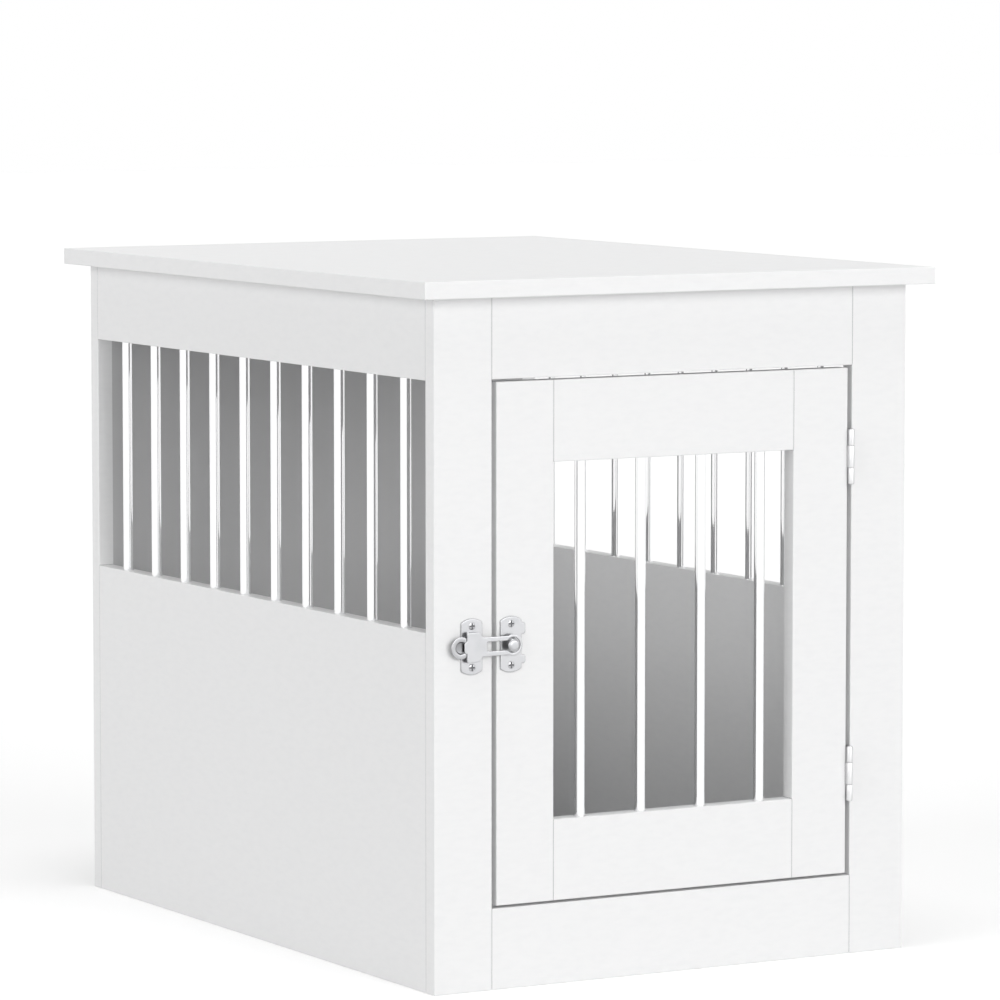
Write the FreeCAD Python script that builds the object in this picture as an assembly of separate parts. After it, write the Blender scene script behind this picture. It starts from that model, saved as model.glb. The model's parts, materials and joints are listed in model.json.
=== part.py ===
"""Dog crate end table: a white board crate with steel bars, one hinged door and a spring latch.

All sizes are in millimetres. The origin is the centre of the footprint, on the floor. +X runs
right along the front, the door faces -Y and +Z is up.
"""

import FreeCAD
import Part
import math
import os

from FreeCAD import Vector

# --- Driving dimensions -------------------------------------------------------------------------

# Table
TOP_WIDTH = 550.0
TOP_DEPTH = 750.0
TABLE_HEIGHT = 650.0
TOP_THICKNESS = 16.0
TOP_OVERHANG = 20.0
BOARD = 16.0                # thickness of every other board
EDGE_EASE = 0.5             # chamfer along every board edge
FIT = 0.1                   # radial play of bars, bolts and dowels in their bores

# Front frame and sides
STILE_WIDTH = 60.0
TOP_RAIL_HEIGHT = 75.0
BOTTOM_RAIL_HEIGHT = 75.0
SIDE_UPPER_HEIGHT = 75.0
SIDE_LOWER_HEIGHT = 330.0
FLOOR_RAISE = 12.0          # air under the floor panel

# Door
DOOR_SIDE_GAP = 5.0
DOOR_END_GAP = 2.5
DOOR_STILE_WIDTH = 60.0
DOOR_TOP_RAIL_HEIGHT = 75.0
DOOR_BOTTOM_RAIL_HEIGHT = 75.0

# Bars
BAR_DIAMETER = 10.0
BAR_SEAT = 10.0             # depth of the blind bore at each end
BAR_TOP_PLAY = 0.8          # free depth above each bar, which stands on its lower bore
SIDE_BAR_PITCH = 64.0
DOOR_BAR_PITCH = 65.0

# Cam locks and their bolts
CAM_DIAMETER = 15.0
CAM_BORE_DEPTH = 12.5
CAM_HEIGHT = 12.0
CAM_SETBACK = 24.0          # from the seam to the cam's centre
CAM_CROSS = 8.0
CAM_CROSS_WIDTH = 1.6
CAM_CROSS_DEPTH = 2.5
BOLT_DIAMETER = 5.0
BOLT_ANCHOR = 11.0          # depth of the bolt in the face it is screwed into
BOLT_HEAD_DIAMETER = 7.0
BOLT_HEAD_LENGTH = 3.0
BOLT_PLAY = 0.3             # room for the bolt's head in the cam and in its passage
TOP_CAM_INSET = 130.0       # from the front and back ends of an upper side board
LOWER_CAM_DROP = 70.0       # from the top edge of a lower side board

# Wooden dowels
DOWEL_DIAMETER = 8.0
DOWEL_IN_EDGE = 15.0
DOWEL_IN_FACE = 10.0
DOWEL_END_PLAY = 0.5
RAIL_DOWEL_INSET = 20.0     # from the upper and lower edges of a rail
LOWER_DOWEL_RISE = 90.0     # from the floor, between a lower side board and what it meets
TOP_DOWEL_INSET = 110.0     # from the middle of the front rail and the back panel
FLOOR_DOWEL_INSET = 150.0   # from the front and back ends of the floor panel

# Hinges
HINGE_LENGTH = 51.0
HINGE_KNUCKLE = 21.0        # middle knuckle, on the door's leaf
HINGE_UPPER_DROP = 83.5     # from the door's top edge to the upper hinge's middle
HINGE_LOWER_RISE = 95.0     # from the door's bottom edge to the lower hinge's middle
LEAF_THICKNESS = 1.2
LEAF_DEPTH = 14.0
LEAF_RELIEF = 0.9           # how far behind the front face a leaf starts beside the other's knuckle
BARREL_DIAMETER = 6.0
BARREL_STANDOFF = 3.0       # from the front face to the hinge's axis
KNUCKLE_GAP = 0.4
HINGE_PIN_DIAMETER = 3.0
HINGE_PIN_PLAY = 0.05
HINGE_PIN_HEAD = 1.1
HINGE_PIN_HEAD_DIAMETER = 5.2
HINGE_SCREW_INSET = 10.5    # from the ends of a leaf
HINGE_SCREW_BACK = 8.0      # from the front face

# Wood screws of hinges and latch
SCREW_SHANK = 2.8
SCREW_DEPTH = 13.0          # in the board
SCREW_HEAD = 6.0
LATCH_SCREW_HEAD = 7.0
LATCH_SCREW_DOME = 0.9
SCREW_PLAY = 0.15           # round a screw's head and neck in its plate
CROSS_LENGTH = 3.6
CROSS_WIDTH = 0.8
CROSS_DEPTH = 0.8

# Latch: a spring lever on the left stile, whose ringed end drops over a stud on the door
PLATE_WIDTH = 22.0
PLATE_HEIGHT = 51.0
PLATE_THICKNESS = 1.2
PLATE_BOW = 3.5             # rise of a plate's bowed ends
PLATE_SCREW_PITCH = 38.0
BASE_SETBACK = 10.5         # from the stile's edge to the base plate
KEEPER_SETBACK = 3.5        # from the door's edge to the keeper plate
KEEPER_TAB = 4.0
KEEPER_TAB_UPPER = 10.0
KEEPER_TAB_LOWER = 7.0
KEEPER_TAB_OFFSET = 14.2    # of the tabs' middles from the plate's middle
LATCH_PIN_DIAMETER = 2.6
LATCH_PIN_INSET = 5.5       # from the base plate's outer edge
LATCH_PIN_HEIGHT = 3.6      # above the front face
LATCH_PIN_PLAY = 0.06
LATCH_PIN_TIP = 0.6         # the pin's free length past each flange
EAR_WIDTH = 4.2
EAR_THICKNESS = 1.4
EAR_GAP = 0.4               # between an ear and the lever's flange
LEVER_THICKNESS = 1.2
LEVER_HEIGHT = 5.9          # from the front face to the lever's underside
LEVER_WIDE = 27.0
LEVER_NARROW = 17.5
LEVER_HEEL = 2.4            # from the pin towards the disc
LEVER_SHOULDER = 10.0       # from the pin towards the door, where the lever narrows
LEVER_TAPER = 4.0
LEVER_NOTCH = 1.2
LEVER_NECK = 2.9            # how far the strap reaches over the disc
LEVER_NECK_WIDTH = 11.0
RING_DIAMETER = 19.5
RING_BORE = 14.5
SLOT_WIDTH = 8.8
SLOT_START = 18.5           # from the pin
STUD_OFFSET = 1.0           # from the keeper plate's middle, towards the stile
STUD_NECK = 7.0
STUD_HEAD = 12.0
STUD_HEAD_EDGE = 1.2
STUD_DOME = 1.3
STUD_CLEARANCE = 0.5        # between the lever and the stud's head
DISC_DIAMETER = 20.5
DISC_OFFSET = 8.0           # from the pin
DISC_FLANGE = 1.2           # thickness of the disc's rim
DISC_CUP = 11.6             # mouth of the cup pressed into the disc
DISC_DEPTH = 1.9
DISC_WALL = 0.8
DISC_EASE = 0.4
DISC_GAP = 0.3              # between the disc's straight edge and the strap's heel
SPRING_WIRE = 0.6
SPRING_COIL = 4.2
SPRING_LENGTH = 9.0
SPRING_LEG = 7.0
SPRING_LEG_UPPER = 2.5
SPRING_BORE_PLAY = 0.12

# --- Derived places -----------------------------------------------------------------------------

BODY_HALF_WIDTH = TOP_WIDTH / 2 - TOP_OVERHANG
BODY_HALF_DEPTH = TOP_DEPTH / 2 - TOP_OVERHANG
TOP_UNDERSIDE = TABLE_HEIGHT - TOP_THICKNESS
INNER_HALF_WIDTH = BODY_HALF_WIDTH - BOARD
FRONT = -BODY_HALF_DEPTH
FRONT_INNER = FRONT + BOARD
BACK_INNER = BODY_HALF_DEPTH - BOARD
FRONT_MIDDLE = FRONT + BOARD / 2
BACK_MIDDLE = BODY_HALF_DEPTH - BOARD / 2
SIDE_MIDDLE = BODY_HALF_WIDTH - BOARD / 2

UPPER_BOTTOM = TOP_UNDERSIDE - SIDE_UPPER_HEIGHT
TOP_RAIL_BOTTOM = TOP_UNDERSIDE - TOP_RAIL_HEIGHT
DOORWAY_HALF = BODY_HALF_WIDTH - STILE_WIDTH
DOOR_HALF = DOORWAY_HALF - DOOR_SIDE_GAP
DOOR_BOTTOM = BOTTOM_RAIL_HEIGHT + DOOR_END_GAP
DOOR_TOP = TOP_RAIL_BOTTOM - DOOR_END_GAP
DOOR_WINDOW_HALF = DOOR_HALF - DOOR_STILE_WIDTH
DOOR_WINDOW_BOTTOM = DOOR_BOTTOM + DOOR_BOTTOM_RAIL_HEIGHT
DOOR_WINDOW_TOP = DOOR_TOP - DOOR_TOP_RAIL_HEIGHT

HINGE_X = (DOORWAY_HALF + DOOR_HALF) / 2
HINGE_Y = FRONT - BARREL_STANDOFF
LATCH_Z = (DOOR_BOTTOM + DOOR_TOP) / 2
BASE_X = -DOORWAY_HALF - BASE_SETBACK - PLATE_WIDTH / 2
KEEPER_X = -DOOR_HALF + KEEPER_SETBACK + PLATE_WIDTH / 2
LATCH_PIN_X = BASE_X - PLATE_WIDTH / 2 + LATCH_PIN_INSET
LATCH_PIN_Y = FRONT - LATCH_PIN_HEIGHT
STUD_X = KEEPER_X - STUD_OFFSET
LEVER_BACK = FRONT - LEVER_HEIGHT

X, Y, Z = Vector(1, 0, 0), Vector(0, 1, 0), Vector(0, 0, 1)


# --- Shapes -------------------------------------------------------------------------------------

def block(low, high):
    """A box between two opposite corners."""
    low, high = Vector(*low), Vector(*high)
    return Part.makeBox(high.x - low.x, high.y - low.y, high.z - low.z, low)


def rod(start, direction, diameter, length):
    """A cylinder from a point along a direction."""
    return Part.makeCylinder(diameter / 2, length, start, direction)


def turned(start, direction, profile):
    """A solid turned about an axis, from (distance along it, radius) points."""
    points = [Vector(radius, 0, along) for along, radius in profile]
    points = [Vector(0, 0, profile[0][0])] + points + [Vector(0, 0, profile[-1][0])]
    kept = [points[0]]
    for point in points[1:]:
        if (point - kept[-1]).Length > 1e-6:
            kept.append(point)
    face = Part.Face(Part.makePolygon(kept + [kept[0]]))
    solid = face.revolve(Vector(), Z, 360)
    solid.Placement = FreeCAD.Placement(start, FreeCAD.Rotation(Z, direction))
    return solid


def outline(points):
    """A closed wire through points; a point given as (through, end) makes an arc."""
    edges = []
    here = start = points[0]
    for item in points[1:] + [start]:
        if isinstance(item, tuple):
            through, end = item
            edges.append(Part.Arc(here, through, end).toShape())
            here = end
        elif (item - here).Length > 1e-6:
            edges.append(Part.LineSegment(here, item).toShape())
            here = item
    return Part.Wire(edges)


def spread(span, pitch):
    """Places of as many bars as a span takes at a pitch, about its middle."""
    count = int(span / pitch + 1e-6)
    return [(i - (count - 1) / 2) * pitch for i in range(count)]


class Board:
    """A cut board: a box with eased edges, and the bores that are drilled into it."""

    def __init__(self, low, high):
        self.solid = block(low, high)
        self.solid = self.solid.makeChamfer(EDGE_EASE, self.solid.Edges)
        self.bores = []

    def bore(self, mouth, into, diameter, depth):
        """Drill a blind bore from a point on a face."""
        self.bores.append(rod(mouth, into, diameter, depth))

    def shape(self):
        """The board with its bores cut."""
        return self.solid.cut(self.bores) if self.bores else self.solid


# --- Fasteners ----------------------------------------------------------------------------------

def cam_set(faced, edged, seam, into, inner):
    """Bolt one board's edge to another's face with a cam lock.

    seam is a point on the seam at the edged board's mid-thickness, into points along the bolt
    into that board, and inner points from there to the face that the cam is set in.
    """
    centre = seam + into * CAM_SETBACK
    faced.bore(seam, -into, BOLT_DIAMETER + 2 * FIT, BOLT_ANCHOR)
    edged.bore(seam, into, BOLT_HEAD_DIAMETER + 2 * BOLT_PLAY, CAM_SETBACK)
    edged.bore(centre + inner * (BOARD / 2), -inner, CAM_DIAMETER + 2 * FIT, CAM_BORE_DEPTH)

    shank = rod(seam - into * BOLT_ANCHOR, into, BOLT_DIAMETER, BOLT_ANCHOR + CAM_SETBACK)
    head = rod(centre - into * (BOLT_HEAD_LENGTH / 2), into, BOLT_HEAD_DIAMETER, BOLT_HEAD_LENGTH)
    bolt = shank.fuse(head).removeSplitter()

    cam = rod(centre + inner * (BOARD / 2 - CAM_BORE_DEPTH), inner, CAM_DIAMETER, CAM_HEIGHT)
    across = into.cross(inner)
    half = BOLT_HEAD_DIAMETER / 2 + BOLT_PLAY
    beyond = centre + into * (BOLT_HEAD_LENGTH / 2 + BOLT_PLAY)
    slot = oriented_block(beyond, -into, CAM_DIAMETER, across, half, inner, half)
    outer = centre + inner * (BOARD / 2 - CAM_BORE_DEPTH + CAM_HEIGHT)
    cuts = [slot]
    for along, aside in ((into, across), (across, into)):
        start = outer - along * (CAM_CROSS / 2) - inner * (CAM_CROSS_DEPTH / 2)
        cuts.append(oriented_block(start, along, CAM_CROSS, aside, CAM_CROSS_WIDTH / 2,
                                   inner, CAM_CROSS_DEPTH / 2))
    return bolt, cam.cut(cuts)


def oriented_block(start, along, length, aside, half_width, up, half_height):
    """A box that runs from a point along a direction, centred on it both ways."""
    corner = start - aside * half_width - up * half_height
    far = start + along * length + aside * half_width + up * half_height
    low = [min(corner[i], far[i]) for i in range(3)]
    high = [max(corner[i], far[i]) for i in range(3)]
    return block(low, high)


def dowel(first, second, seam, into_second, depth_first, depth_second):
    """A wooden dowel across a seam, with its bores in both boards."""
    bore = DOWEL_DIAMETER + 2 * FIT
    first.bore(seam, -into_second, bore, depth_first + DOWEL_END_PLAY)
    second.bore(seam, into_second, bore, depth_second + DOWEL_END_PLAY)
    start = seam - into_second * depth_first
    return rod(start, into_second, DOWEL_DIAMETER, depth_first + depth_second)


def bars(lower, upper, middles, bottom, top):
    """Upright bars between two boards, each standing in a blind bore."""
    solids = []
    for x, y in middles:
        bore = BAR_DIAMETER + 2 * FIT
        lower.bore(Vector(x, y, bottom), -Z, bore, BAR_SEAT)
        upper.bore(Vector(x, y, top), Z, bore, BAR_SEAT)
        length = top - bottom + 2 * BAR_SEAT - BAR_TOP_PLAY
        solids.append(rod(Vector(x, y, bottom - BAR_SEAT), Z, BAR_DIAMETER, length))
    return solids


def cross_recess(middle, out, side, up):
    """The cross in a screw's head, cut from its top."""
    start = middle - out * (CROSS_DEPTH / 2)
    cuts = []
    for along, aside in ((side, up), (up, side)):
        cuts.append(oriented_block(start - along * (CROSS_LENGTH / 2), along, CROSS_LENGTH,
                                   aside, CROSS_WIDTH / 2, out, CROSS_DEPTH / 2))
    return cuts


def countersunk(plate_face, out, side, head, thickness, dome):
    """A wood screw in a countersunk plate, and the hole that its plate needs.

    plate_face is a point on the plate's outer face and out points away from the board.
    """
    tip = thickness + SCREW_DEPTH
    profile = [(-tip, SCREW_SHANK / 2), (-thickness, SCREW_SHANK / 2), (0, head / 2)]
    if dome > 0:
        profile += [(dome * 0.7, head * 0.36), (dome, head * 0.2)]
    screw = turned(plate_face, out, profile)
    screw = screw.cut(cross_recess(plate_face + out * dome, out, side, out.cross(side)))
    hole = turned(plate_face, out, [(-thickness, SCREW_SHANK / 2 + SCREW_PLAY),
                                    (0, head / 2 + SCREW_PLAY)])
    return screw, hole


# --- Hinges -------------------------------------------------------------------------------------

def hinge(middle, stile, door_stile):
    """A butt hinge with its leaves on the facing edges of a stile and the door."""
    axis = Vector(HINGE_X, HINGE_Y, 0)
    half, knuckle = HINGE_LENGTH / 2, HINGE_KNUCKLE / 2
    outer = [(middle - half, middle - knuckle - KNUCKLE_GAP),
             (middle + knuckle + KNUCKLE_GAP, middle + half)]
    sides = {"frame": (DOORWAY_HALF, -1, stile, outer),
             "door": (DOOR_HALF, 1, door_stile, [(middle - knuckle, middle + knuckle)])}
    leaves, screws = {}, {}
    for name, (edge, inward, board, knuckles) in sides.items():
        near, far = sorted((edge, edge + inward * LEAF_THICKNESS))
        plate = block((near, FRONT + LEAF_RELIEF, middle - half),
                      (far, FRONT + LEAF_DEPTH, middle + half))
        parts = []
        for low, high in knuckles:
            parts.append(block((near, HINGE_Y, low), (far, FRONT + LEAF_RELIEF, high)))
            parts.append(rod(axis + Z * low, Z, BARREL_DIAMETER, high - low))
        leaf = plate.fuse(parts)
        leaf = leaf.cut(rod(axis + Z * (middle - half), Z,
                            HINGE_PIN_DIAMETER + 2 * HINGE_PIN_PLAY, HINGE_LENGTH))
        screws[name] = []
        for z in (middle - half + HINGE_SCREW_INSET, middle + half - HINGE_SCREW_INSET):
            face = Vector(edge + inward * LEAF_THICKNESS, FRONT + HINGE_SCREW_BACK, z)
            screw, hole = countersunk(face, X * inward, Y, SCREW_HEAD, LEAF_THICKNESS, 0)
            leaf = leaf.cut(hole)
            board.bore(Vector(edge, face.y, z), X * -inward, SCREW_SHANK + 2 * FIT, SCREW_DEPTH)
            screws[name].append(screw)
        leaves[name] = leaf.removeSplitter()
    head = HINGE_PIN_HEAD_DIAMETER / 2
    shaft = HINGE_PIN_DIAMETER / 2
    pin = turned(axis + Z * (middle - half), Z, [
        (-HINGE_PIN_HEAD, head * 0.6), (-HINGE_PIN_HEAD * 0.5, head), (0, head), (0, shaft),
        (HINGE_LENGTH, shaft), (HINGE_LENGTH, head), (HINGE_LENGTH + HINGE_PIN_HEAD * 0.5, head),
        (HINGE_LENGTH + HINGE_PIN_HEAD, head * 0.6)])
    return leaves, screws, pin


# --- Latch --------------------------------------------------------------------------------------

def front_prism(wire_points, back, thickness):
    """A plate parallel to the front, from an outline of (x, z) points."""
    def lift(point):
        return Vector(point[0], back, point[1])
    lifted = [tuple(lift(p) for p in item[1:]) if item[0] == "arc" else lift(item)
              for item in wire_points]
    return Part.Face(outline(lifted)).extrude(-Y * thickness)


def bowed_plate(middle_x):
    """A latch plate with straight sides and bowed ends."""
    left, right = middle_x - PLATE_WIDTH / 2, middle_x + PLATE_WIDTH / 2
    low, high = LATCH_Z - PLATE_HEIGHT / 2, LATCH_Z + PLATE_HEIGHT / 2
    return front_prism([
        (left, low + PLATE_BOW), ("arc", (middle_x, low), (right, low + PLATE_BOW)),
        (right, high - PLATE_BOW), ("arc", (middle_x, high), (left, high - PLATE_BOW))],
        FRONT, PLATE_THICKNESS)


def plate_screws(plate, board, middle_x):
    """Two screws through a latch plate, with the holes that they need."""
    screws = []
    for z in (LATCH_Z - PLATE_SCREW_PITCH / 2, LATCH_Z + PLATE_SCREW_PITCH / 2):
        face = Vector(middle_x, FRONT - PLATE_THICKNESS, z)
        screw, hole = countersunk(face, -Y, X, LATCH_SCREW_HEAD, PLATE_THICKNESS,
                                  LATCH_SCREW_DOME)
        plate = plate.cut(hole)
        board.bore(Vector(middle_x, FRONT, z), Y, SCREW_SHANK + 2 * FIT, SCREW_DEPTH)
        screws.append(screw)
    return plate, screws


def latch_base(stile):
    """The base plate with two ears that hold the lever's pin."""
    plate = bowed_plate(BASE_X)
    ears = []
    outer = LEVER_WIDE / 2 - LEVER_THICKNESS - EAR_GAP
    for low, high in ((-outer, -outer + EAR_THICKNESS), (outer - EAR_THICKNESS, outer)):
        ears.append(block((LATCH_PIN_X - EAR_WIDTH / 2, LATCH_PIN_Y, LATCH_Z + low),
                          (LATCH_PIN_X + EAR_WIDTH / 2, FRONT - PLATE_THICKNESS, LATCH_Z + high)))
        ears.append(rod(Vector(LATCH_PIN_X, LATCH_PIN_Y, LATCH_Z + low), Z, EAR_WIDTH,
                        EAR_THICKNESS))
    plate = plate.fuse(ears)
    length = LEVER_WIDE + 2 * LATCH_PIN_TIP
    start = Vector(LATCH_PIN_X, LATCH_PIN_Y, LATCH_Z - length / 2)
    bore = rod(start, Z, LATCH_PIN_DIAMETER + 2 * LATCH_PIN_PLAY, length)
    plate, screws = plate_screws(plate.cut(bore), stile, BASE_X)
    pin = rod(start, Z, LATCH_PIN_DIAMETER, length)
    return plate.removeSplitter(), screws, pin


def latch_lever():
    """The lever: a flanged strap with a keyhole end and a cupped finger disc."""
    wide, narrow, neck = LEVER_WIDE / 2, LEVER_NARROW / 2, LEVER_NECK_WIDTH / 2
    heel = LATCH_PIN_X - LEVER_HEEL
    shoulder = LATCH_PIN_X + LEVER_SHOULDER
    tapered = shoulder + LEVER_TAPER
    ring = RING_DIAMETER / 2
    join = STUD_X - math.sqrt(ring ** 2 - narrow ** 2)
    z = LATCH_Z
    notch = LEVER_NOTCH
    strap = front_prism([
        (heel, z - wide + notch), (heel + notch * 0.6, z - wide), (shoulder, z - wide),
        (tapered, z - narrow), (join, z - narrow),
        ("arc", (STUD_X + ring, z), (join, z + narrow)),
        (tapered, z + narrow), (shoulder, z + wide), (heel + notch * 0.6, z + wide),
        (heel, z + wide - notch), (heel, z + neck), (heel - LEVER_NECK * 0.6, z + neck),
        ("arc", (heel - LEVER_NECK, z), (heel - LEVER_NECK * 0.6, z - neck)), (heel, z - neck)],
        LEVER_BACK, LEVER_THICKNESS)
    keyhole = [rod(Vector(STUD_X, FRONT, z), -Y, RING_BORE, LEVER_HEIGHT * 2),
               block((LATCH_PIN_X + SLOT_START, FRONT - LEVER_HEIGHT * 2, z - SLOT_WIDTH / 2),
                     (STUD_X, FRONT, z + SLOT_WIDTH / 2))]
    strap = strap.cut(keyhole)

    flanges = []
    reach = LATCH_PIN_DIAMETER
    for low, high in ((-wide, -wide + LEVER_THICKNESS), (wide - LEVER_THICKNESS, wide)):
        flanges.append(block((heel + notch * 0.6, LEVER_BACK, z + low),
                             (shoulder, LATCH_PIN_Y + reach / 2, z + high)))
        flanges.append(rod(Vector(LATCH_PIN_X, LATCH_PIN_Y, z + low), Z, 2 * LEVER_HEEL - 0.4,
                           high - low))

    rim, cup = DISC_DIAMETER / 2, DISC_CUP / 2
    disc = turned(Vector(LATCH_PIN_X - DISC_OFFSET, LEVER_BACK, z), -Y, [
        (-DISC_DEPTH - DISC_WALL, cup), (-DISC_FLANGE, cup + DISC_WALL),
        (-DISC_FLANGE, rim - DISC_EASE), (-DISC_FLANGE + DISC_EASE, rim), (-DISC_EASE, rim),
        (0, rim - DISC_EASE), (0, cup), (-DISC_DEPTH, cup - DISC_WALL)])
    disc = disc.cut(block((heel - DISC_GAP, LEVER_BACK - 1, z - rim - 1),
                          (heel + DISC_DIAMETER, FRONT, z + rim + 1)))
    lever = strap.fuse(flanges + [disc])
    lever = lever.cut(rod(Vector(LATCH_PIN_X, LATCH_PIN_Y, z - wide * 2), Z,
                          LATCH_PIN_DIAMETER + 2 * LATCH_PIN_PLAY, wide * 4))
    return lever.removeSplitter()


def latch_spring():
    """The torsion spring round the pin: a close coil with a leg along the plate and the strap."""
    bore = LATCH_PIN_DIAMETER + 2 * SPRING_BORE_PLAY
    start = Vector(LATCH_PIN_X, LATCH_PIN_Y, LATCH_Z - SPRING_LENGTH / 2)
    coil = rod(start, Z, SPRING_COIL, SPRING_LENGTH)
    aside = Y * ((SPRING_COIL + bore) / 4)
    centre = Vector(LATCH_PIN_X, LATCH_PIN_Y, LATCH_Z)
    rise = Z * (SPRING_LENGTH / 2 - SPRING_WIRE)
    half = SPRING_WIRE / 2
    legs = [oriented_block(centre + aside - rise, X, SPRING_LEG, Y, half, Z, half),
            oriented_block(centre - aside + rise, -X, SPRING_LEG_UPPER, Y, half, Z, half)]
    coil = coil.fuse(legs)
    return coil.cut(rod(start - Z, Z, bore, SPRING_LENGTH + 2)).removeSplitter()


def keeper(door_stile):
    """The keeper plate on the door and the stud that the lever's ring drops over."""
    plate = bowed_plate(KEEPER_X)
    edge = KEEPER_X + PLATE_WIDTH / 2
    tabs = []
    for offset, height in ((KEEPER_TAB_OFFSET, KEEPER_TAB_UPPER),
                           (-KEEPER_TAB_OFFSET, KEEPER_TAB_LOWER)):
        low, high = LATCH_Z + offset - height / 2, LATCH_Z + offset + height / 2
        ease = height / 5
        tabs.append(front_prism([
            (edge - 1, low), (edge + KEEPER_TAB - ease, low), (edge + KEEPER_TAB, low + ease),
            (edge + KEEPER_TAB, high - ease), (edge + KEEPER_TAB - ease, high),
            (edge - 1, high)], FRONT, PLATE_THICKNESS))
    plate, screws = plate_screws(plate.fuse(tabs), door_stile, KEEPER_X)
    under = LEVER_HEIGHT + LEVER_THICKNESS + STUD_CLEARANCE
    head = STUD_HEAD / 2
    stud = turned(Vector(STUD_X, FRONT, LATCH_Z), -Y, [
        (PLATE_THICKNESS, STUD_NECK / 2), (under, STUD_NECK / 2), (under, head),
        (under + STUD_HEAD_EDGE, head), (under + STUD_HEAD_EDGE + STUD_DOME * 0.7, head * 0.7),
        (under + STUD_HEAD_EDGE + STUD_DOME, head * 0.3)])
    return plate.removeSplitter(), screws, stud


# --- Assembly -----------------------------------------------------------------------------------

def boards():
    """Every board of the crate and the door, before its bores are drilled."""
    w, d, i, h = BODY_HALF_WIDTH, BODY_HALF_DEPTH, INNER_HALF_WIDTH, TOP_UNDERSIDE
    s, dh, dw = DOORWAY_HALF, DOOR_HALF, DOOR_WINDOW_HALF
    made = {
        "tabletop": Board((-TOP_WIDTH / 2, -TOP_DEPTH / 2, h),
                          (TOP_WIDTH / 2, TOP_DEPTH / 2, TABLE_HEIGHT)),
        "front_left_stile": Board((-w, FRONT, 0), (-s, FRONT_INNER, h)),
        "front_right_stile": Board((s, FRONT, 0), (w, FRONT_INNER, h)),
        "front_top_rail": Board((-s, FRONT, TOP_RAIL_BOTTOM), (s, FRONT_INNER, h)),
        "front_bottom_rail": Board((-s, FRONT, 0), (s, FRONT_INNER, BOTTOM_RAIL_HEIGHT)),
        "back_panel": Board((-w, BACK_INNER, 0), (w, d, h)),
        "floor_panel": Board((-i, FRONT_INNER, FLOOR_RAISE), (i, BACK_INNER, FLOOR_RAISE + BOARD)),
        "door_left_stile": Board((-dh, FRONT, DOOR_BOTTOM), (-dw, FRONT_INNER, DOOR_TOP)),
        "door_right_stile": Board((dw, FRONT, DOOR_BOTTOM), (dh, FRONT_INNER, DOOR_TOP)),
        "door_top_rail": Board((-dw, FRONT, DOOR_WINDOW_TOP), (dw, FRONT_INNER, DOOR_TOP)),
        "door_bottom_rail": Board((-dw, FRONT, DOOR_BOTTOM), (dw, FRONT_INNER, DOOR_WINDOW_BOTTOM)),
    }
    for name, low, high in (("left", -w, -i), ("right", i, w)):
        made[name + "_upper_board"] = Board((low, FRONT_INNER, UPPER_BOTTOM), (high, BACK_INNER, h))
        made[name + "_lower_board"] = Board((low, FRONT_INNER, 0),
                                            (high, BACK_INNER, SIDE_LOWER_HEIGHT))
    return made


def rail_dowels(left, right, rail, half, low, high):
    """Two dowels at each end of a rail, into the stiles beside it."""
    solids = []
    for stile, side in ((left, -1), (right, 1)):
        for z in (low + RAIL_DOWEL_INSET, high - RAIL_DOWEL_INSET):
            solids.append(dowel(rail, stile, Vector(side * half, FRONT_MIDDLE, z), X * side,
                                DOWEL_IN_EDGE, DOWEL_IN_EDGE))
    return solids


def carcass_fasteners(board):
    """Cams, bolts and dowels that hold the sides, top, back and floor together."""
    groups = {name: [] for name in ("top_cam_locks", "top_cam_bolts", "side_cam_locks",
                                    "side_cam_bolts", "side_dowels", "top_dowels",
                                    "floor_dowels")}
    for side, name in ((-1, "left"), (1, "right")):
        upper, lower = board[name + "_upper_board"], board[name + "_lower_board"]
        stile = board["front_%s_stile" % name]
        inner = X * -side
        x = side * SIDE_MIDDLE
        for y in (FRONT_INNER + TOP_CAM_INSET, BACK_INNER - TOP_CAM_INSET):
            bolt, cam = cam_set(board["tabletop"], upper, Vector(x, y, TOP_UNDERSIDE), -Z, inner)
            groups["top_cam_bolts"].append(bolt)
            groups["top_cam_locks"].append(cam)
        for neighbour, y, into in ((stile, FRONT_INNER, Y), (board["back_panel"], BACK_INNER, -Y)):
            for edged, z in ((upper, TOP_UNDERSIDE - SIDE_UPPER_HEIGHT / 2),
                             (lower, SIDE_LOWER_HEIGHT - LOWER_CAM_DROP)):
                bolt, cam = cam_set(neighbour, edged, Vector(x, y, z), into, inner)
                groups["side_cam_bolts"].append(bolt)
                groups["side_cam_locks"].append(cam)
            groups["side_dowels"].append(dowel(neighbour, lower, Vector(x, y, LOWER_DOWEL_RISE),
                                               into, DOWEL_IN_FACE, DOWEL_IN_EDGE))
        for y in (FRONT_INNER + FLOOR_DOWEL_INSET, BACK_INNER - FLOOR_DOWEL_INSET):
            seam = Vector(side * INNER_HALF_WIDTH, y, FLOOR_RAISE + BOARD / 2)
            groups["floor_dowels"].append(dowel(lower, board["floor_panel"], seam, inner,
                                                DOWEL_IN_FACE, DOWEL_IN_EDGE))
        for edged, y in ((board["front_top_rail"], FRONT_MIDDLE),
                         (board["back_panel"], BACK_MIDDLE)):
            seam = Vector(side * TOP_DOWEL_INSET, y, TOP_UNDERSIDE)
            groups["top_dowels"].append(dowel(board["tabletop"], edged, seam, -Z,
                                              DOWEL_IN_FACE, DOWEL_IN_EDGE))
    return groups


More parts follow.
